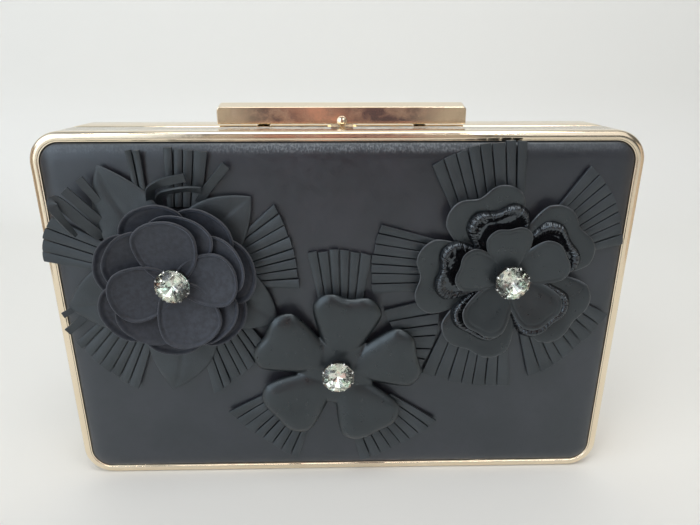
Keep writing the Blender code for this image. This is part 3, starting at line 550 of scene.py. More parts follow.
clasp = {
    "x": 0.6,
    "length": 78.0,
    "low": 120.0,
    "frontHeight": 5.2,
    "rearHeight": 6.3,
    "depth": 5.0,
    "clip": 1.1,
    "relief": 1.2,
    "edgeRadius": 0.28,
    # rooms for the hook and the feet: middle along the bar, half width, front; below them back, bottom, top
    "rooms": ((0.0, 3.8, 0.6), (-25.0, 2.3, 1.8), (25.0, 2.3, 1.8)),
    "roomEnds": (6.0, 119.5, 123.8),
    "studRadius": 1.6,
    "studZ": 120.9,
    "studBase": (-0.7, -0.3),
    # steps of the stud's face towards its middle: inset, push
    "studFace": ((0.12, 0.16), (0.16, 0.02), (0.10, -0.14), (0.12, 0.06), (0.30, 0.18), (0.35, 0.10),
                 (0.30, 0.04)),
}


def makeClaspBar():
    bm = bmesh.new()
    bmesh.ops.create_cube(bm, size=1.0)
    for vert in bm.verts:
        x, y, z = vert.co
        height = clasp["rearHeight"] if y > 0 else clasp["frontHeight"]
        vert.co = Vector((clasp["x"] + x * clasp["length"], bag["partingY"] + (y + 0.5) * clasp["depth"],
                          clasp["low"] + (z + 0.5) * height)) * mm
    low = (clasp["low"] + 0.1) * mm
    rear = (bag["partingY"] + clasp["depth"] - 0.1) * mm
    under = [e for e in bm.edges if all(v.co.z < low and v.co.y > rear for v in e.verts)]
    bevelEdges(bm, under, clasp["relief"], 1)
    top = (clasp["low"] + clasp["frontHeight"] - 0.2) * mm
    ends = [e for e in bm.edges if all(v.co.z > top for v in e.verts)
            and abs(e.verts[0].co.x - e.verts[1].co.x) < 1e-6]
    bevelEdges(bm, ends, clasp["clip"], 4)
    piece = makePiece("claspBar", bm, [claspGold], "clasp_lever")
    back, bottom, roof = clasp["roomEnds"]
    cutAway(piece, [((clasp["x"] + middle - half, front, bottom), (clasp["x"] + middle + half, back, roof))
                    for middle, half, front in clasp["rooms"]])
    roundEdges(piece, clasp["edgeRadius"], 3, 25)


def makeStud():
    # plain domed button with a thin raised edge
    bm = bmesh.new()
    front, back = clasp["studBase"]
    place = Vector((clasp["x"], bag["partingY"] + (front + back) / 2, clasp["studZ"])) * mm
    bmesh.ops.create_cone(bm, cap_ends=True, segments=48, radius1=clasp["studRadius"] * mm,
                          radius2=clasp["studRadius"] * mm, depth=(back - front) * mm,
                          matrix=Matrix.Translation(place) @ forwards)
    bm.normal_update()
    face = faceTowards(bm, Vector((0.0, -1.0, 0.0)))
    for inset, push in clasp["studFace"]:
        face = pushFace(bm, face, inset, push)
    makePiece("claspStud", bm, [claspGold], "clasp_lever", 50)


makeClaspBar()
makeStud()
print("clasp made")


# leather cut and shaped: petals, leaves, fans of strips, rolled strips

flowers = {"left": (-50.0, 75.8), "centre": (-1.2, 43.1), "right": (51.6, 75.5)}


def flowerOf(name):
    return next(flower for flower in flowers if name.startswith(flower))


def onFlower(flower, a, b, height):
    x, z = flowers[flower]
    return Vector((x + a, bag["panelY"] - height, z + b)) * mm


def petalEdge(turn, reach, halfWidth, look):
    # outline of one petal from its own middle: along its axis and across it
    if look.get("pointed"):
        # leaf whose middle line bends to one side towards its tip
        along = reach / 2 * (1 + math.cos(turn))
        sharp = look["pointed"][0 if math.cos(turn) > 0 else 1]
        across = halfWidth * math.copysign(abs(math.sin(turn)) ** sharp, math.sin(turn))
        return along, across - look["bend"] * reach * (along / reach) ** 5
    power = look["square"]
    size = abs(math.cos(turn) / (reach / 2)) ** power + abs(math.sin(turn) / halfWidth) ** power
    size = size ** (-1 / power)
    along = reach / 2 + size * math.cos(turn)
    across = size * math.sin(turn)
    spread = min(1.0, max(0.0, along / (0.8 * reach)))
    across *= look["neck"] + (1 - look["neck"]) * spread
    far = max(0.0, along / reach) ** 4
    along -= look["notch"] * math.exp(-(across / look["notchWidth"]) ** 2) * far
    return along, across


def addPetal(bm, flower, petal, look, seed):
    # a ball squashed and pulled into one petal, its rings crowded towards the rim
    # petal: direction in degrees, reach, half width and, where it differs, the depth of the notch
    direction, reach, halfWidth = petal[:3]
    if len(petal) > 3:
        look = {**look, "notch": petal[3]}
    layers = bm.verts.layers.float
    rimLayer, aroundLayer = [layers.get(key) or layers.new(key) for key in ("rim", "around")]
    rings, around = look["rings"], look["around"]
    made = bmesh.ops.create_uvsphere(bm, u_segments=around, v_segments=rings, radius=1.0)["verts"]
    angle = math.radians(direction)
    ca, sa = math.cos(angle), math.sin(angle)
    middle = reach * look["middle"]
    middleAcross = -look["bend"] * reach * look["middle"] ** 5
    for vert in made:
        polar = math.acos(max(-1.0, min(1.0, vert.co.z)))
        ring = round(polar / math.pi * rings)
        step = min(ring, rings - ring) / (rings / 2)
        share = 1 - (1 - step) ** look["crowding"]
        turn = math.atan2(vert.co.y, vert.co.x)
        along, across = petalEdge(turn, reach, halfWidth, look)
        along = middle + (along - middle) * share
        across = middleAcross + (across - middleAcross) * share
        out = math.hypot(along, across)
        height = look["base"] + look["cup"] * (out / look["cupReach"]) ** look["cupPower"]
        height -= look["tilt"] * across / halfWidth * min(1.0, max(0.0, along / reach))
        height += look["lift"] * max(0.0, (share - look["liftFrom"]) / (1 - look["liftFrom"])) ** 2
        spot = Vector((along / look["swayLength"], across / look["swayLength"], seed * 3.7))
        height += look["sway"] * noise.noise(spot)
        fold = across + look["bend"] * reach * abs(along / reach) ** 5
        height -= look["crease"] * math.exp(-(fold / look["creaseWidth"]) ** 2) * (1 - share ** 6)
        thickness = look["thickness"] * math.sqrt(max(0.0, 1 - share ** look["edgePower"]))
        if ring < rings / 2:
            # a raised edge with a groove inside it
            bead = math.exp(-((share - look["beadAt"]) / look["beadWidth"]) ** 2)
            grooveAt = look["beadAt"] - 2.3 * look["beadWidth"]
            groove = math.exp(-((share - grooveAt) / look["grooveWidth"]) ** 2)
            height += thickness / 2 + look["pad"] * (1 - share ** 3) ** 1.2 + look["bead"] * (bead - groove)
        else:
            height -= thickness / 2
        vert.co = onFlower(flower, along * ca - across * sa, along * sa + across * ca, height)
        vert[rimLayer] = share
        vert[aroundLayer] = turn + 7.0 * seed


# what every petal has unless its own table says otherwise: lengths in mm, places as shares of the reach
petalShape = {
    "rings": 36, "around": 72, "crowding": 2.2, "middle": 0.58, "square": 2.6, "neck": 0.6,
    "notch": 0.0, "notchWidth": 4.0, "thickness": 0.95, "edgePower": 40, "pad": 0.0,
    "bead": 0.0, "beadAt": 0.945, "beadWidth": 0.032, "grooveWidth": 0.02,
    "cupPower": 2.0, "cupReach": 25.0, "tilt": 0.0, "lift": 0.0, "liftFrom": 0.8,
    "sway": 0.25, "swayLength": 9.0, "crease": 0.0, "creaseWidth": 1.1, "bend": 0.0,
}

petalLayers = {
    "leftLeaves": {
        "surface": fringeLeather,
        "shape": {"pointed": (1.8, 0.8), "base": 1.95, "cup": 0.0, "crease": 0.3, "middle": 0.5, "sway": 0.6,
                  "thickness": 0.95, "bend": 0.105, "edgePower": 20},
        "petals": ((126, 39.8, 10.2), (53, 34.2, 9.8), (338, 33.6, 10.4), (268, 40.0, 11.2),
                   (201, 36.4, 12.0)),
    },
    "leftPetalsOuter": {
        "surface": suede,
        "shape": {"base": 2.7, "cup": 3.2, "cupPower": 2.6, "tilt": 0.8, "lift": 0.9, "bead": 0.26,
                  "square": 2.3, "sway": 0.5, "thickness": 1.1},
        "petals": ((10, 24.6, 11.5), (58, 24.6, 11.0), (108, 24.6, 11.5), (163, 24.6, 11.5),
                   (214, 26.2, 11.5), (262, 24.6, 11.0), (314, 24.6, 11.5)),
    },
    "leftPetalsMiddle": {
        "surface": suede,
        "shape": {"base": 3.8, "cup": 6.6, "cupPower": 2.6, "tilt": 0.9, "lift": 0.9, "bead": 0.28,
                  "square": 2.3, "sway": 0.45, "thickness": 1.1},
        "petals": ((22, 22.2, 10.5), (78, 21.6, 11.0), (150, 21.4, 11.0), (232, 21.8, 11.0),
                   (312, 21.8, 11.0)),
    },
    "leftPetalsInner": {
        "surface": suede,
        "shape": {"base": 5.9, "cup": 6.4, "cupPower": 2.4, "tilt": 0.85, "lift": 0.5, "bead": 0.30,
                  "square": 2.25, "sway": 0.2, "neck": 0.72, "thickness": 1.15},
        "petals": ((97, 20.2, 10.4), (6, 19.4, 9.2), (288, 20.4, 10.6), (196, 19.6, 9.6)),
    },
    "rightPetalsOuter": {
        "surface": petalLeather,
        "shape": {"base": 1.9, "cup": 1.9, "cupPower": 2.6, "square": 3.0, "neck": 0.42, "notch": 2.1,
                  "sway": 0.45, "thickness": 1.15, "edgePower": 12},
        "petals": ((113, 29.6, 13.2, 2.2), (38, 27.4, 12.8, 1.6), (326, 27.6, 12.8, 0.9),
                   (246, 27.8, 13.0, 0.9), (179, 29.6, 13.2, 2.2)),
    },
    "rightPetalsMiddle": {
        "surface": patentLeather,
        "shape": {"base": 3.0, "cup": 4.2, "cupPower": 2.6, "square": 2.9, "neck": 0.45, "notch": 1.5,
                  "sway": 0.4, "around": 144, "lift": -2.0, "edgePower": 8, "thickness": 1.0},
        "petals": ((105, 23.8, 10.6, 1.7), (34, 22.6, 10.4, 1.0), (315, 22.6, 10.6, 0.5),
                   (240, 22.4, 10.4, 0.5), (172, 23.2, 10.6, 1.4)),
    },
    "rightPetalsInner": {
        "surface": petalLeather,
        "shape": {"base": 4.5, "cup": 6.4, "cupPower": 2.4, "square": 2.6, "neck": 0.5, "notchWidth": 2.8,
                  "sway": 0.25, "edgePower": 8, "lift": 0.25, "thickness": 1.2, "pad": 0.45, "bead": 0.13,
                  "beadAt": 0.9},
        "petals": ((97, 17.6, 7.7, 1.0), (28, 18.2, 7.8, 0.4), (315, 18.8, 8.3, 0.4), (240, 19.6, 8.4, 0.5),
                   (164, 17.6, 7.8, 0.9)),
    },
}


def makePetalLayer(name, layer):
    bm = bmesh.new()
    look = {**petalShape, **layer["shape"]}
    for index, petal in enumerate(layer["petals"]):
        addPetal(bm, flowerOf(name), petal, look, index + 1.0)
    piece = makePiece(name, bm, [layer["surface"]], smoothAngle=180)


for layerName, layer in petalLayers.items():
    makePetalLayer(layerName, layer)
print("petals made")

# the centre flower is one padded piece: five petals that run into a common middle
centreBloom = {
    "petals": ((82, 28.2, 12.2, 2.0), (150, 28.4, 12.2, 1.3), (219, 27.4, 12.4, 0.6), (300, 27.2, 12.2, 0.5),
               (13, 27.4, 12.0, 1.1)),
    "shape": {"base": 2.6, "cup": 1.7, "cupPower": 2.4, "square": 2.9, "neck": 0.22, "notchWidth": 4.4,
              "pad": 1.3, "thickness": 2.0, "edgePower": 4, "sway": 0.3, "lift": -0.6, "around": 96},
    "hubRadius": 12.5,
    "hubHeight": 2.0,
    "voxel": 0.36,
    "smoothing": 6,
}


def makeCentreBloom():
    bm = bmesh.new()
    look = {**petalShape, **centreBloom["shape"]}
    for index, petal in enumerate(centreBloom["petals"]):
        addPetal(bm, "centre", petal, look, index + 1.0)
    hub = bmesh.ops.create_uvsphere(bm, u_segments=48, v_segments=16, radius=1.0)["verts"]
    for vert in hub:
        x, y, z = vert.co
        vert.co = onFlower("centre", x * centreBloom["hubRadius"], y * centreBloom["hubRadius"],
                           look["base"] + z * centreBloom["hubHeight"])
    piece = makePiece("centrePetals", bm, [petalLeather], smoothAngle=180)
    melt = piece.modifiers.new("melt", "REMESH")
    melt.mode = "VOXEL"
    melt.voxel_size = centreBloom["voxel"] * mm
    melt.use_smooth_shade = True
    soften = piece.modifiers.new("soften", "SMOOTH")
    soften.iterations = centreBloom["smoothing"]
    soften.factor = 0.5
    applyModifiers(piece)
    piece.data.shade_smooth()


makeCentreBloom()
print("centre flower made")

# each fan: outer corners of its tips and of its roots, number of strips, bow of the tips and of the roots
fans = {
    "leftFanTop": (((-11.8, 38.6), (12.0, 38.2)), ((-10.4, 22.0), (8.8, 22.0)), 7, 0.9),
    "leftFanSide": (((-35.7, 19.2), (-40.3, 5.1)), ((-21.0, 11.0), (-23.0, 1.5)), 4, 1.5),
    "leftFanUpper": (((30.2, 23.1), (36.7, -4.2)), ((18.5, 12.6), (22.0, -4.0)), 8, 1.5),
    "leftFanLowerLeft": (((-35.4, -21.9), (-17.2, -39.6)), ((-23.0, -11.5), (-10.5, -21.5)), 7, 1.5),
    "leftFanLowerRight": (((26.1, -24.1), (7.2, -41.5)), ((18.0, -13.0), (4.0, -23.0)), 7, 1.5),
    "centreFanTop": (((-9.3, 39.8), (10.6, 38.8)), ((-5.6, 21.5), (7.6, 21.5)), 6, 1.5),
    "centreFanLowerLeft": (((-37.2, -16.2), (-14.0, -35.7)), ((-21.0, -8.0), (-9.5, -20.5)), 8, 1.5),
    "centreFanLowerRight": (((33.8, -20.9), (7.5, -36.9)), ((18.0, -10.4), (3.6, -21.0)), 8, 1.5),
    "rightFanTop": (((-25.0, 34.3), (2.7, 41.0)), ((-17.5, 19.0), (3.5, 21.5)), 8, 2.5),
    "rightFanUpper": (((22.0, 34.4), (35.5, 9.6)), ((12.0, 19.5), (22.5, 6.7)), 8, 2.5),
    "rightFanLeft": (((-39.2, 16.7), (-41.8, -6.1)), ((-23.0, 12.0), (-24.0, -5.0)), 7, 1.5),
    "rightFanLowerLeft": (((-38.3, -11.6), (-27.0, -31.4)), ((-21.0, -7.4), (-26.0, -33.4)), 6, 0.5, -2.6),
    "rightFanBottom": (((-25.2, -34.7), (4.8, -39.7)), ((-18.3, -17.5), (2.8, -22.0)), 7, 1.5),
    "rightFanLowerRight": (((10.6, -36.2), (33.9, -13.2)), ((5.8, -18.5), (21.5, -7.5)), 8, 3.0),
}
# the top fan has lost the strips that were rolled: shares where it is cut, strips that are missing
brokenFans = {"leftFanTop": ((0.0, 0.09, 0.19, 0.46, 0.575, 0.70, 0.825, 1.0), (2,))}
strip = {
    "thickness": 0.9, "gap": 0.3, "slit": 0.42, "lift": 0.7, "crown": 0.22, "tilt": 0.38, "edgeRadius": 0.15,
    "widths": (0.86, 1.14), "slits": (0.6, 1.3), "longer": (-0.25, 0.35), "rolledThickness": 0.75,
    "rolledRadius": 0.12,
}


def stripBlock(lengthwise, crosswise):
    # unit block cut into steps along Y and across X
    block = bmesh.new()
    bmesh.ops.create_cube(block, size=1.0)
    for axis, cuts in ((1, lengthwise), (0, crosswise)):
        edges = [e for e in block.edges if abs(e.verts[0].co[axis] - e.verts[1].co[axis]) > 0.5]
        bmesh.ops.subdivide_edges(block, edges=edges, cuts=cuts, use_grid_fill=True)
    return block


def addBlock(bm, block):
    mesh = bpy.data.meshes.new("block")
    block.to_mesh(mesh)
    block.free()
    bm.from_mesh(mesh)
    bpy.data.meshes.remove(mesh)


def alongPath(points, share):
    # smooth line through the points
    place = share * (len(points) - 1)
    index = min(int(place), len(points) - 2)
    t = place - index
    p = [Vector(points[min(max(index + k, 0), len(points) - 1)]) for k in (-1, 0, 1, 2)]
    return 0.5 * (2 * p[1] + (p[2] - p[0]) * t + (2 * p[0] - 5 * p[1] + 4 * p[2] - p[3]) * t * t
                  + (3 * p[1] - p[0] - 3 * p[2] + p[3]) * t ** 3)


def stripAlong(points, width, rolls=(0.0, 0.0), point=0.0):
    # a strip that follows a line in the air and turns about it; rolls in degrees from end to end,
    # point is the share of the width that its tip loses
    block = stripBlock(30, 2)
    turning = [(roll, 0.0, 0.0) for roll in rolls]
    for vert in block.verts:
        u, v, w = vert.co.x, vert.co.y + 0.5, vert.co.z
        centre = alongPath(points, v)
        ahead = (alongPath(points, min(1.0, v + 0.01)) - alongPath(points, max(0.0, v - 0.01))).normalized()
        across = ahead.cross(Vector((0.0, 0.0, 1.0)))
        across = (across if across.length > 0.2 else Vector((1.0, 0.0, 0.0))).normalized()
        across = Matrix.Rotation(math.radians(alongPath(turning, v).x), 3, ahead) @ across
        wide = width * (1 - point * v ** 3)
        spot = centre + across * u * wide + across.cross(ahead) * w * strip["rolledThickness"]
        vert.co = onFlower("left", spot.x, spot.y, spot.z)
    return block


# strips that leave the leather: points of the middle line with the height above the panel, width, turns
looseStrips = {
    "leftFanTop": ((((8.0, 23.2, 1.0), (10.3, 26.7, 1.9), (13.6, 30.7, 2.6), (17.0, 34.6, 2.3)), 2.7,
                    (0.0, 12.0, 20.0)),),
    "leftFanSide": ((((-30.0, -8.5, 0.8), (-34.0, -10.6, 1.5), (-37.2, -12.2, 2.6)), 1.9, (0.0, 10.0)),
                    (((-29.0, -11.5, 0.8), (-33.0, -15.0, 1.5), (-36.8, -18.0, 2.4)), 2.4, (0.0, -10.0))),
}
curls = {
    "leftCurlTop": (
        (((-6.0, 23.0, 1.2), (-5.6, 25.8, 2.6), (-4.6, 28.2, 4.2), (-2.0, 29.8, 4.9), (1.4, 30.7, 4.7),
          (5.4, 31.4, 4.2)), 2.6, (0.0, 30.0, 40.0, 20.0, 10.0)),),
    "leftCurlMiddle": (
        (((-3.6, 23.4, 1.2), (-3.2, 25.2, 2.6), (-1.6, 26.8, 4.2), (1.4, 27.6, 4.6), (5.4, 28.0, 4.1),
          (9.6, 27.6, 3.2)), 1.9, (0.0, 35.0, 45.0, 40.0, 20.0)),),
    "leftCurlSide": (
        (((-19.6, 20.6, 1.0), (-21.6, 25.0, 2.2), (-23.2, 28.2, 3.2), (-24.9, 31.2, 3.8)), 2.4,
         (0.0, 6.0, 12.0)),
        (((-20.6, 17.0, 1.2), (-23.8, 21.6, 3.4), (-26.2, 25.2, 5.0), (-28.6, 28.2, 5.8)), 2.6,
         (0.0, 14.0, 8.0)),
        (((-21.8, 13.0, 1.4), (-25.6, 18.4, 4.2), (-28.6, 22.8, 6.0), (-31.0, 25.5, 7.0), (-31.4, 24.0, 8.2),
          (-29.6, 20.0, 7.8), (-27.6, 14.6, 5.4)), 3.3, (0.0, 10.0, 14.0, 4.0, -24.0, -46.0, -52.0), 0.65),),
}


def makeCurl(name, paths):
    bm = bmesh.new()
    for path in paths:
        addBlock(bm, stripAlong(*path))
    piece = makePiece(name, bm, [fringeLeather], smoothAngle=50)
    roundEdges(piece, strip["rolledRadius"], 2, 40)


def bowed(start, end, share, bow):
    chord = end - start
    side = Vector((chord.y, -chord.x)).normalized()
    return start + chord * share + side * bow * 4 * share * (1 - share)


def makeFan(name, seed, tips, roots, count, tipBow, rootBow=0.0):
    rng = random.Random(seed)
    tipA, tipB = (Vector(p) for p in tips)
    rootA, rootB = (Vector(p) for p in roots)
    outwards = (tipA + tipB - rootA - rootB).normalized()
    chord = tipB - tipA
    flip = 1 if Vector((chord.y, -chord.x)).dot(outwards) > 0 else -1
    cuts = [0.0]
    for index in range(count):
        cuts.append(cuts[-1] + rng.uniform(*strip["widths"]))
    cuts = [c / cuts[-1] for c in cuts]
    cuts, missing = brokenFans.get(name, (cuts, ()))
    bm = bmesh.new()
    for index in range(count):
        if index in missing:
            continue
        block = stripBlock(7, 3)
        width = (tipB - tipA).length * (cuts[index + 1] - cuts[index])
        half = strip["slit"] * rng.uniform(*strip["slits"]) / 2 / width
        longer = rng.uniform(*strip["longer"])
        lift = strip["lift"] * rng.uniform(0.0, 1.0)
        twist = rng.uniform(-strip["tilt"], strip["tilt"])
        for vert in block.verts:
            u, v, w = vert.co.x + 0.5, vert.co.y + 0.5, vert.co.z + 0.5
            share = cuts[index] + (cuts[index + 1] - cuts[index]) * (half + u * (1 - 2 * half))
            tip = bowed(tipA, tipB, share, flip * tipBow)
            root = bowed(rootA, rootB, share, flip * rootBow)
            point = root + (tip - root) * v + (tip - root).normalized() * longer * v
            rise = strip["gap"] + strip["thickness"] * w + lift * v ** 2.5
            rise += twist * (u - 0.5) * v + twist * twist + strip["crown"] * (1 - (2 * u - 1) ** 2) * w
            vert.co = onFlower(flowerOf(name), point.x, point.y, rise)
        addBlock(bm, block)
    for path in looseStrips.get(name, ()):
        addBlock(bm, stripAlong(*path))
    piece = makePiece(name, bm, [fringeLeather], smoothAngle=50)
    roundEdges(piece, strip["edgeRadius"], 2, 40)


for fanSeed, (fanName, facts) in enumerate(fans.items(), 11):
    makeFan(fanName, fanSeed, *facts)
print("fans made")

for curlName, curlPaths in curls.items():
    makeCurl(curlName, curlPaths)
print("rolled strips made")


# stones in their claw cups

jewel = {
    "bases": {"left": 6.3, "centre": 4.0, "right": 5.1},
    "cupRadius": 5.2,
    "cupHeight": 3.45,
    "cupDraft": 0.9,
    "wall": 0.22,
    "cupFloor": 0.7,
    "floorDraft": 0.63,
    "claws": 8,
    # half a claw's depth, breadth and height, and how far its tip leans in
    "claw": (0.32, 0.38, 0.8),
    "clawLean": 0.45,
    "clawRadius": 5.22,
    # rings of corners of the cut stone: radius, height above the base, corners, turned by half a step
    "rings": ((0.3, 1.0, 8, False), (2.73, 2.27, 8, True), (5.15, 3.51, 16, False), (5.15, 3.74, 16, False),
              (4.2, 4.68, 8, True), (2.73, 5.31, 8, False)),
    "twist": 0.13,
    # the back of the stone, which has the foil, reaches up to here
    "foilTop": 3.0,
}


def makeSetting(flower):
    bm = bmesh.new()
    base = jewel["bases"][flower]
    place = Matrix.Translation(onFlower(flower, 0, 0, base + jewel["cupHeight"] / 2))
    bmesh.ops.create_cone(bm, cap_ends=True, segments=48, depth=jewel["cupHeight"] * mm,
                          radius1=(jewel["cupRadius"] - jewel["cupDraft"]) * mm,
                          radius2=jewel["cupRadius"] * mm,
                          matrix=place @ forwards)
    bm.normal_update()
    face = faceTowards(bm, Vector((0.0, -1.0, 0.0)))
    face = pushFace(bm, face, jewel["wall"], 0.0)
    bmesh.ops.recalc_face_normals(bm, faces=bm.faces)
    pushFace(bm, face, jewel["floorDraft"], -(jewel["cupHeight"] - jewel["cupFloor"]))
    for face in bm.faces:
        face.material_index = 1
    for index in range(jewel["claws"]):
        angle = 2 * math.pi * (index + 0.5) / jewel["claws"]
        out = Vector((math.cos(angle), math.sin(angle)))
        deep, broad, tall = jewel["claw"]
        for vert in bmesh.ops.create_uvsphere(bm, u_segments=14, v_segments=12, radius=1.0)["verts"]:
            x, y, z = vert.co
            up = jewel["cupHeight"] + z * tall
            along = jewel["clawRadius"] - jewel["clawLean"] * max(0.0, z) ** 1.5 + x * deep
            point = out * along + Vector((-out.y, out.x)) * y * broad
            vert.co = onFlower(flower, point.x, point.y, base + up)
    makePiece(flower + "Setting", bm, [settingSilver, cupMetal], smoothAngle=40)


def makeStone(flower):
    bm = bmesh.new()
    base = jewel["bases"][flower]
    for radius, height, corners, turned in jewel["rings"]:
        twist = math.pi / corners if turned else 0.0
        place = Matrix.Translation(onFlower(flower, 0, 0, base + height))
        turn = forwards @ Matrix.Rotation(twist + jewel["twist"], 4, "Z")
        bmesh.ops.create_circle(bm, segments=corners, radius=radius * mm, matrix=place @ turn)
    hull = bmesh.ops.convex_hull(bm, input=bm.verts[:])
    loose = [g for g in hull["geom_interior"] + hull["geom_unused"] if isinstance(g, bmesh.types.BMVert)]
    bmesh.ops.delete(bm, geom=loose, context="VERTS")
    bmesh.ops.dissolve_limit(bm, angle_limit=math.radians(0.5), verts=bm.verts, edges=bm.edges)
    foilTop = onFlower(flower, 0, 0, base + jewel["foilTop"]).y
    for face in bm.faces:
        face.material_index = 1 if face.calc_center_median().y > foilTop else 0
    makePiece(flower + "Stone", bm, [crystal, stoneFoil], smoothAngle=0)


for flowerName in flowers:
    makeSetting(flowerName)
    makeStone(flowerName)
print("stones made")

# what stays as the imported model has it, with its real finish
keptNodes = {
    hingeSteel: ("hinge_back_leaf_left", "hinge_back_leaf_right", "hinge_front_leaf_left",
                 "hinge_front_leaf_right", "hinge_pin_left", "hinge_pin_right", "clasp_pin", "clasp_spring",
                 "clasp_hook", "latch_keeper"),
    claspGold: ("clasp_bracket_left", "clasp_bracket_right"),
    boardCard: ("front_board", "back_board"),
}
for surface, names in keptNodes.items():
    for nodeName in names:
        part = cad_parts[nodeName]
        part.data.materials.clear()
        part.data.materials.append(surface)


# floor, light and camera

room = {
    "floorColour": (0.84, 0.83, 0.79),
    "halfWidth": 2.2,
    "frontY": -2.0,
    "wallY": 0.42,
    "wallTop": 1.8,
    "curve": 0.12,
    # daylight by direction: bluish from the left, warmer and dimmer from the right, brightest overhead
    "skyLeft": (0.98, 1.07, 1.18),
    "skyRight": (0.46, 0.45, 0.44),
    "skyLow": 0.70,
    "skyHigh": 1.10,
    "skyStrength": 0.37,
    # bright windows to the left and right of the viewer: from and to in X and Z of the direction, strength
    "windows": ((-0.94, -0.28, -0.02, 0.80, 1.3), (0.28, 0.70, 0.20, 0.97, 1.9)),
    "windowEdge": 0.02,
    # what the camera itself sees past the wall and the floor
    "backdrop": (0.80, 0.80, 0.78),
}
# area lamps: place, height aimed at, size, watts, colour; the glints are small, for stones, patent and metal
lamps = {
    "topLight": ((0.05, -0.25, 0.95), 0.05, (0.75, 0.5), 3.7, (1.0, 0.98, 0.95)),
    "sideFill": ((-0.80, -0.70, 0.38), 0.06, (0.8, 0.8), 2.3, (0.84, 0.93, 1.0)),
    "glintLeft": ((-0.45, -0.60, 0.85), 0.06, (0.07, 0.07), 0.35, (1.0, 1.0, 1.0)),
    "glintRight": ((0.30, -0.75, 0.70), 0.06, (0.07, 0.07), 0.35, (1.0, 1.0, 1.0)),
}
# the camera as solved from the photograph: degrees right and down, focal length and width in pixels
view = {
    "yaw": 1.28,
    "pitch": 19.59,
    "focal": 558.0,
    "imageWidth": 700.0,
    "place": (-0.0009, -0.17415, 0.1378),
}
# warm soft shapes round the bag, seen only as reflections: foot, turn in degrees, width, height
cards = {
    "frontCard": ((0.0, -0.48), 0.0, 0.34, 0.50),
    "leftCard": ((-0.34, 0.03), -78.0, 0.46, 0.17),
    "rightCard": ((0.34, 0.03), 78.0, 0.46, 0.17),
}
# their streaks: stretch in X, Y and Z, size in mm, noise from which to which they change, dark and light
streaks = {
    "front": ((1.0, 1.0, 1.6), 70.0, (0.42, 0.58), (0.10, 0.07, 0.10), (0.80, 0.42, 0.34)),
    "side": ((1.0, 1.0, 0.1), 55.0, (0.40, 0.50), (0.12, 0.09, 0.07), (0.76, 0.64, 0.54)),
}


def makeSweep():
    bm = bmesh.new()
    left, back = -room["halfWidth"], room["wallY"]
    profile = ((room["frontY"], 0.0), (back, 0.0), (back, room["wallTop"]))
    line = [bm.verts.new((left, y, z)) for y, z in profile]
    for pair in zip(line, line[1:]):
        bm.edges.new(pair)
    bmesh.ops.bevel(bm, geom=[line[1]], offset=room["curve"], segments=16, profile=0.5, affect="VERTICES",
                    material=-1)
    pulled = bmesh.ops.extrude_edge_only(bm, edges=bm.edges[:])["geom"]
    right = [g for g in pulled if isinstance(g, bmesh.types.BMVert)]
    bmesh.ops.translate(bm, verts=right, vec=(-2 * left, 0, 0))
    bmesh.ops.recalc_face_normals(bm, faces=bm.faces)
    sweep = newObject("sweep", bm)
    sweep.data.shade_smooth()
    sweep.data.materials.append(newMaterial("paleFloor", room["floorColour"], 0.55)[0])


def cardColours(tree, front):
    stretch, size, (low, high), dark, light = streaks["front" if front else "side"]
    pattern = noiseAt(tree, objectCoords(tree, stretch), size, 1.0)
    colour = mixColours(tree, remap(tree, pattern, low, high, 0.0, 1.0), dark, light)
    if not front:
        return colour
    # paler towards the sides, with a dark line near them
    across = addNode(tree, "ShaderNodeSeparateXYZ", Vector=objectCoords(tree)).outputs["X"]
    sideways = sums(tree, "ABSOLUTE", across, 0.0)
    inner = mixColours(tree, remap(tree, sideways, 0.08, 0.13, 0.0, 1.0), colour, (0.66, 0.57, 0.50))
    darkLine = remap(tree, sideways, 0.158, 0.162, 0.0, 1.0)
    return mixColours(tree, darkLine, inner, (0.03, 0.025, 0.025))


def makeCard(name, foot, turn, width, height):
    bm = bmesh.new()
    place = Matrix.Translation((*foot, height / 2 + 0.002)) @ Matrix.Rotation(math.radians(turn), 4, "Z")
    size = Matrix.Diagonal((width, 1.0, height, 1.0))
    bmesh.ops.create_grid(bm, x_segments=1, y_segments=1, size=0.5,
                          matrix=place @ size @ Matrix.Rotation(-math.pi / 2, 4, "X"))
    card = newObject(name, bm)
    material, tree, shader = newMaterial(name + "Colours", (0.5, 0.3, 0.25), 0.8)
    front = name == "frontCard"
    feed(shader, {"Base Color": cardColours(tree, front)})
    card.data.materials.append(material)
    card.visible_camera = False
    if not front:
        card.visible_diffuse = False
        card.visible_shadow = False
        card.visible_transmission = False


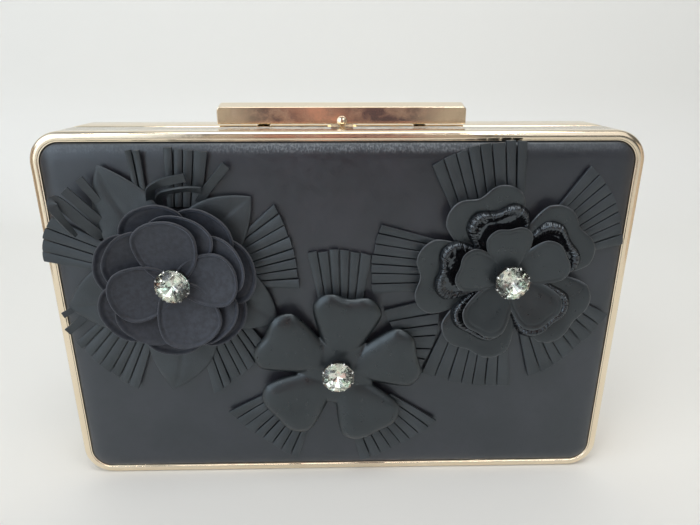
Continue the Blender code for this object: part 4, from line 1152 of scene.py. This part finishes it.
def makeSky():
    world = bpy.data.worlds.new("sky")
    bpy.context.scene.world = world
    world.use_nodes = True
    tree = world.node_tree
    background = tree.nodes["Background"]
    direction = addNode(tree, "ShaderNodeTexCoord").outputs["Generated"]
    parts = addNode(tree, "ShaderNodeSeparateXYZ", Vector=direction)
    sideways = remap(tree, parts.outputs["X"], -0.8, 0.8, 0.0, 1.0)
    colour = mixColours(tree, sideways, room["skyLeft"], room["skyRight"])
    height = remap(tree, parts.outputs["Z"], 0.0, 0.8, room["skyLow"], room["skyHigh"])
    strength = sums(tree, "MULTIPLY", height, room["skyStrength"])
    soft = room["windowEdge"]
    for left, right, low, high, bright in room["windows"]:
        glow = remap(tree, parts.outputs["Y"], -0.15, 0.0, bright, 0.0)
        for axis, start, end in (("X", left, left + soft), ("X", right, right - soft), ("Z", low, low + soft),
                                 ("Z", high, high - soft)):
            glow = sums(tree, "MULTIPLY", glow, remap(tree, parts.outputs[axis], start, end, 0.0, 1.0))
        strength = sums(tree, "MAXIMUM", strength, glow)
    feed(background, {"Color": colour, "Strength": strength})
    both = addNode(tree, "ShaderNodeMixShader")
    feed(both, {0: addNode(tree, "ShaderNodeLightPath").outputs["Is Camera Ray"], 1: background.outputs[0],
                2: addNode(tree, "ShaderNodeBackground", Color=room["backdrop"]).outputs[0]})
    feed(tree.nodes["World Output"], {"Surface": both.outputs[0]})


def addLamp(name, place, aimHeight, size, watts, colour):
    lamp = bpy.data.lights.new(name, "AREA")
    lamp.shape = "RECTANGLE"
    lamp.size, lamp.size_y = size
    lamp.energy = watts
    lamp.color = colour
    item = bpy.data.objects.new(name, lamp)
    bpy.context.scene.collection.objects.link(item)
    item.location = place
    item.rotation_mode = "QUATERNION"
    item.rotation_quaternion = (Vector((0.0, 0.0, aimHeight)) - Vector(place)).to_track_quat("-Z", "Y")


def makeCamera():
    yaw, pitch = math.radians(view["yaw"]), math.radians(view["pitch"])
    ahead = Vector((math.sin(yaw) * math.cos(pitch), math.cos(yaw) * math.cos(pitch), -math.sin(pitch)))
    camera = bpy.data.cameras.new("camera")
    camera.sensor_width = 36.0
    camera.lens = view["focal"] / view["imageWidth"] * camera.sensor_width
    camera.clip_start = 0.01
    item = bpy.data.objects.new("camera", camera)
    bpy.context.scene.collection.objects.link(item)
    item.location = view["place"]
    item.rotation_mode = "QUATERNION"
    item.rotation_quaternion = ahead.to_track_quat("-Z", "Y")
    bpy.context.scene.camera = item


makeSweep()
for lampName, lampFacts in lamps.items():
    addLamp(lampName, *lampFacts)
makeCamera()
for cardName, cardFacts in cards.items():
    makeCard(cardName, *cardFacts)
makeSky()
bpy.context.scene.view_settings.view_transform = "Standard"
print("stage made")
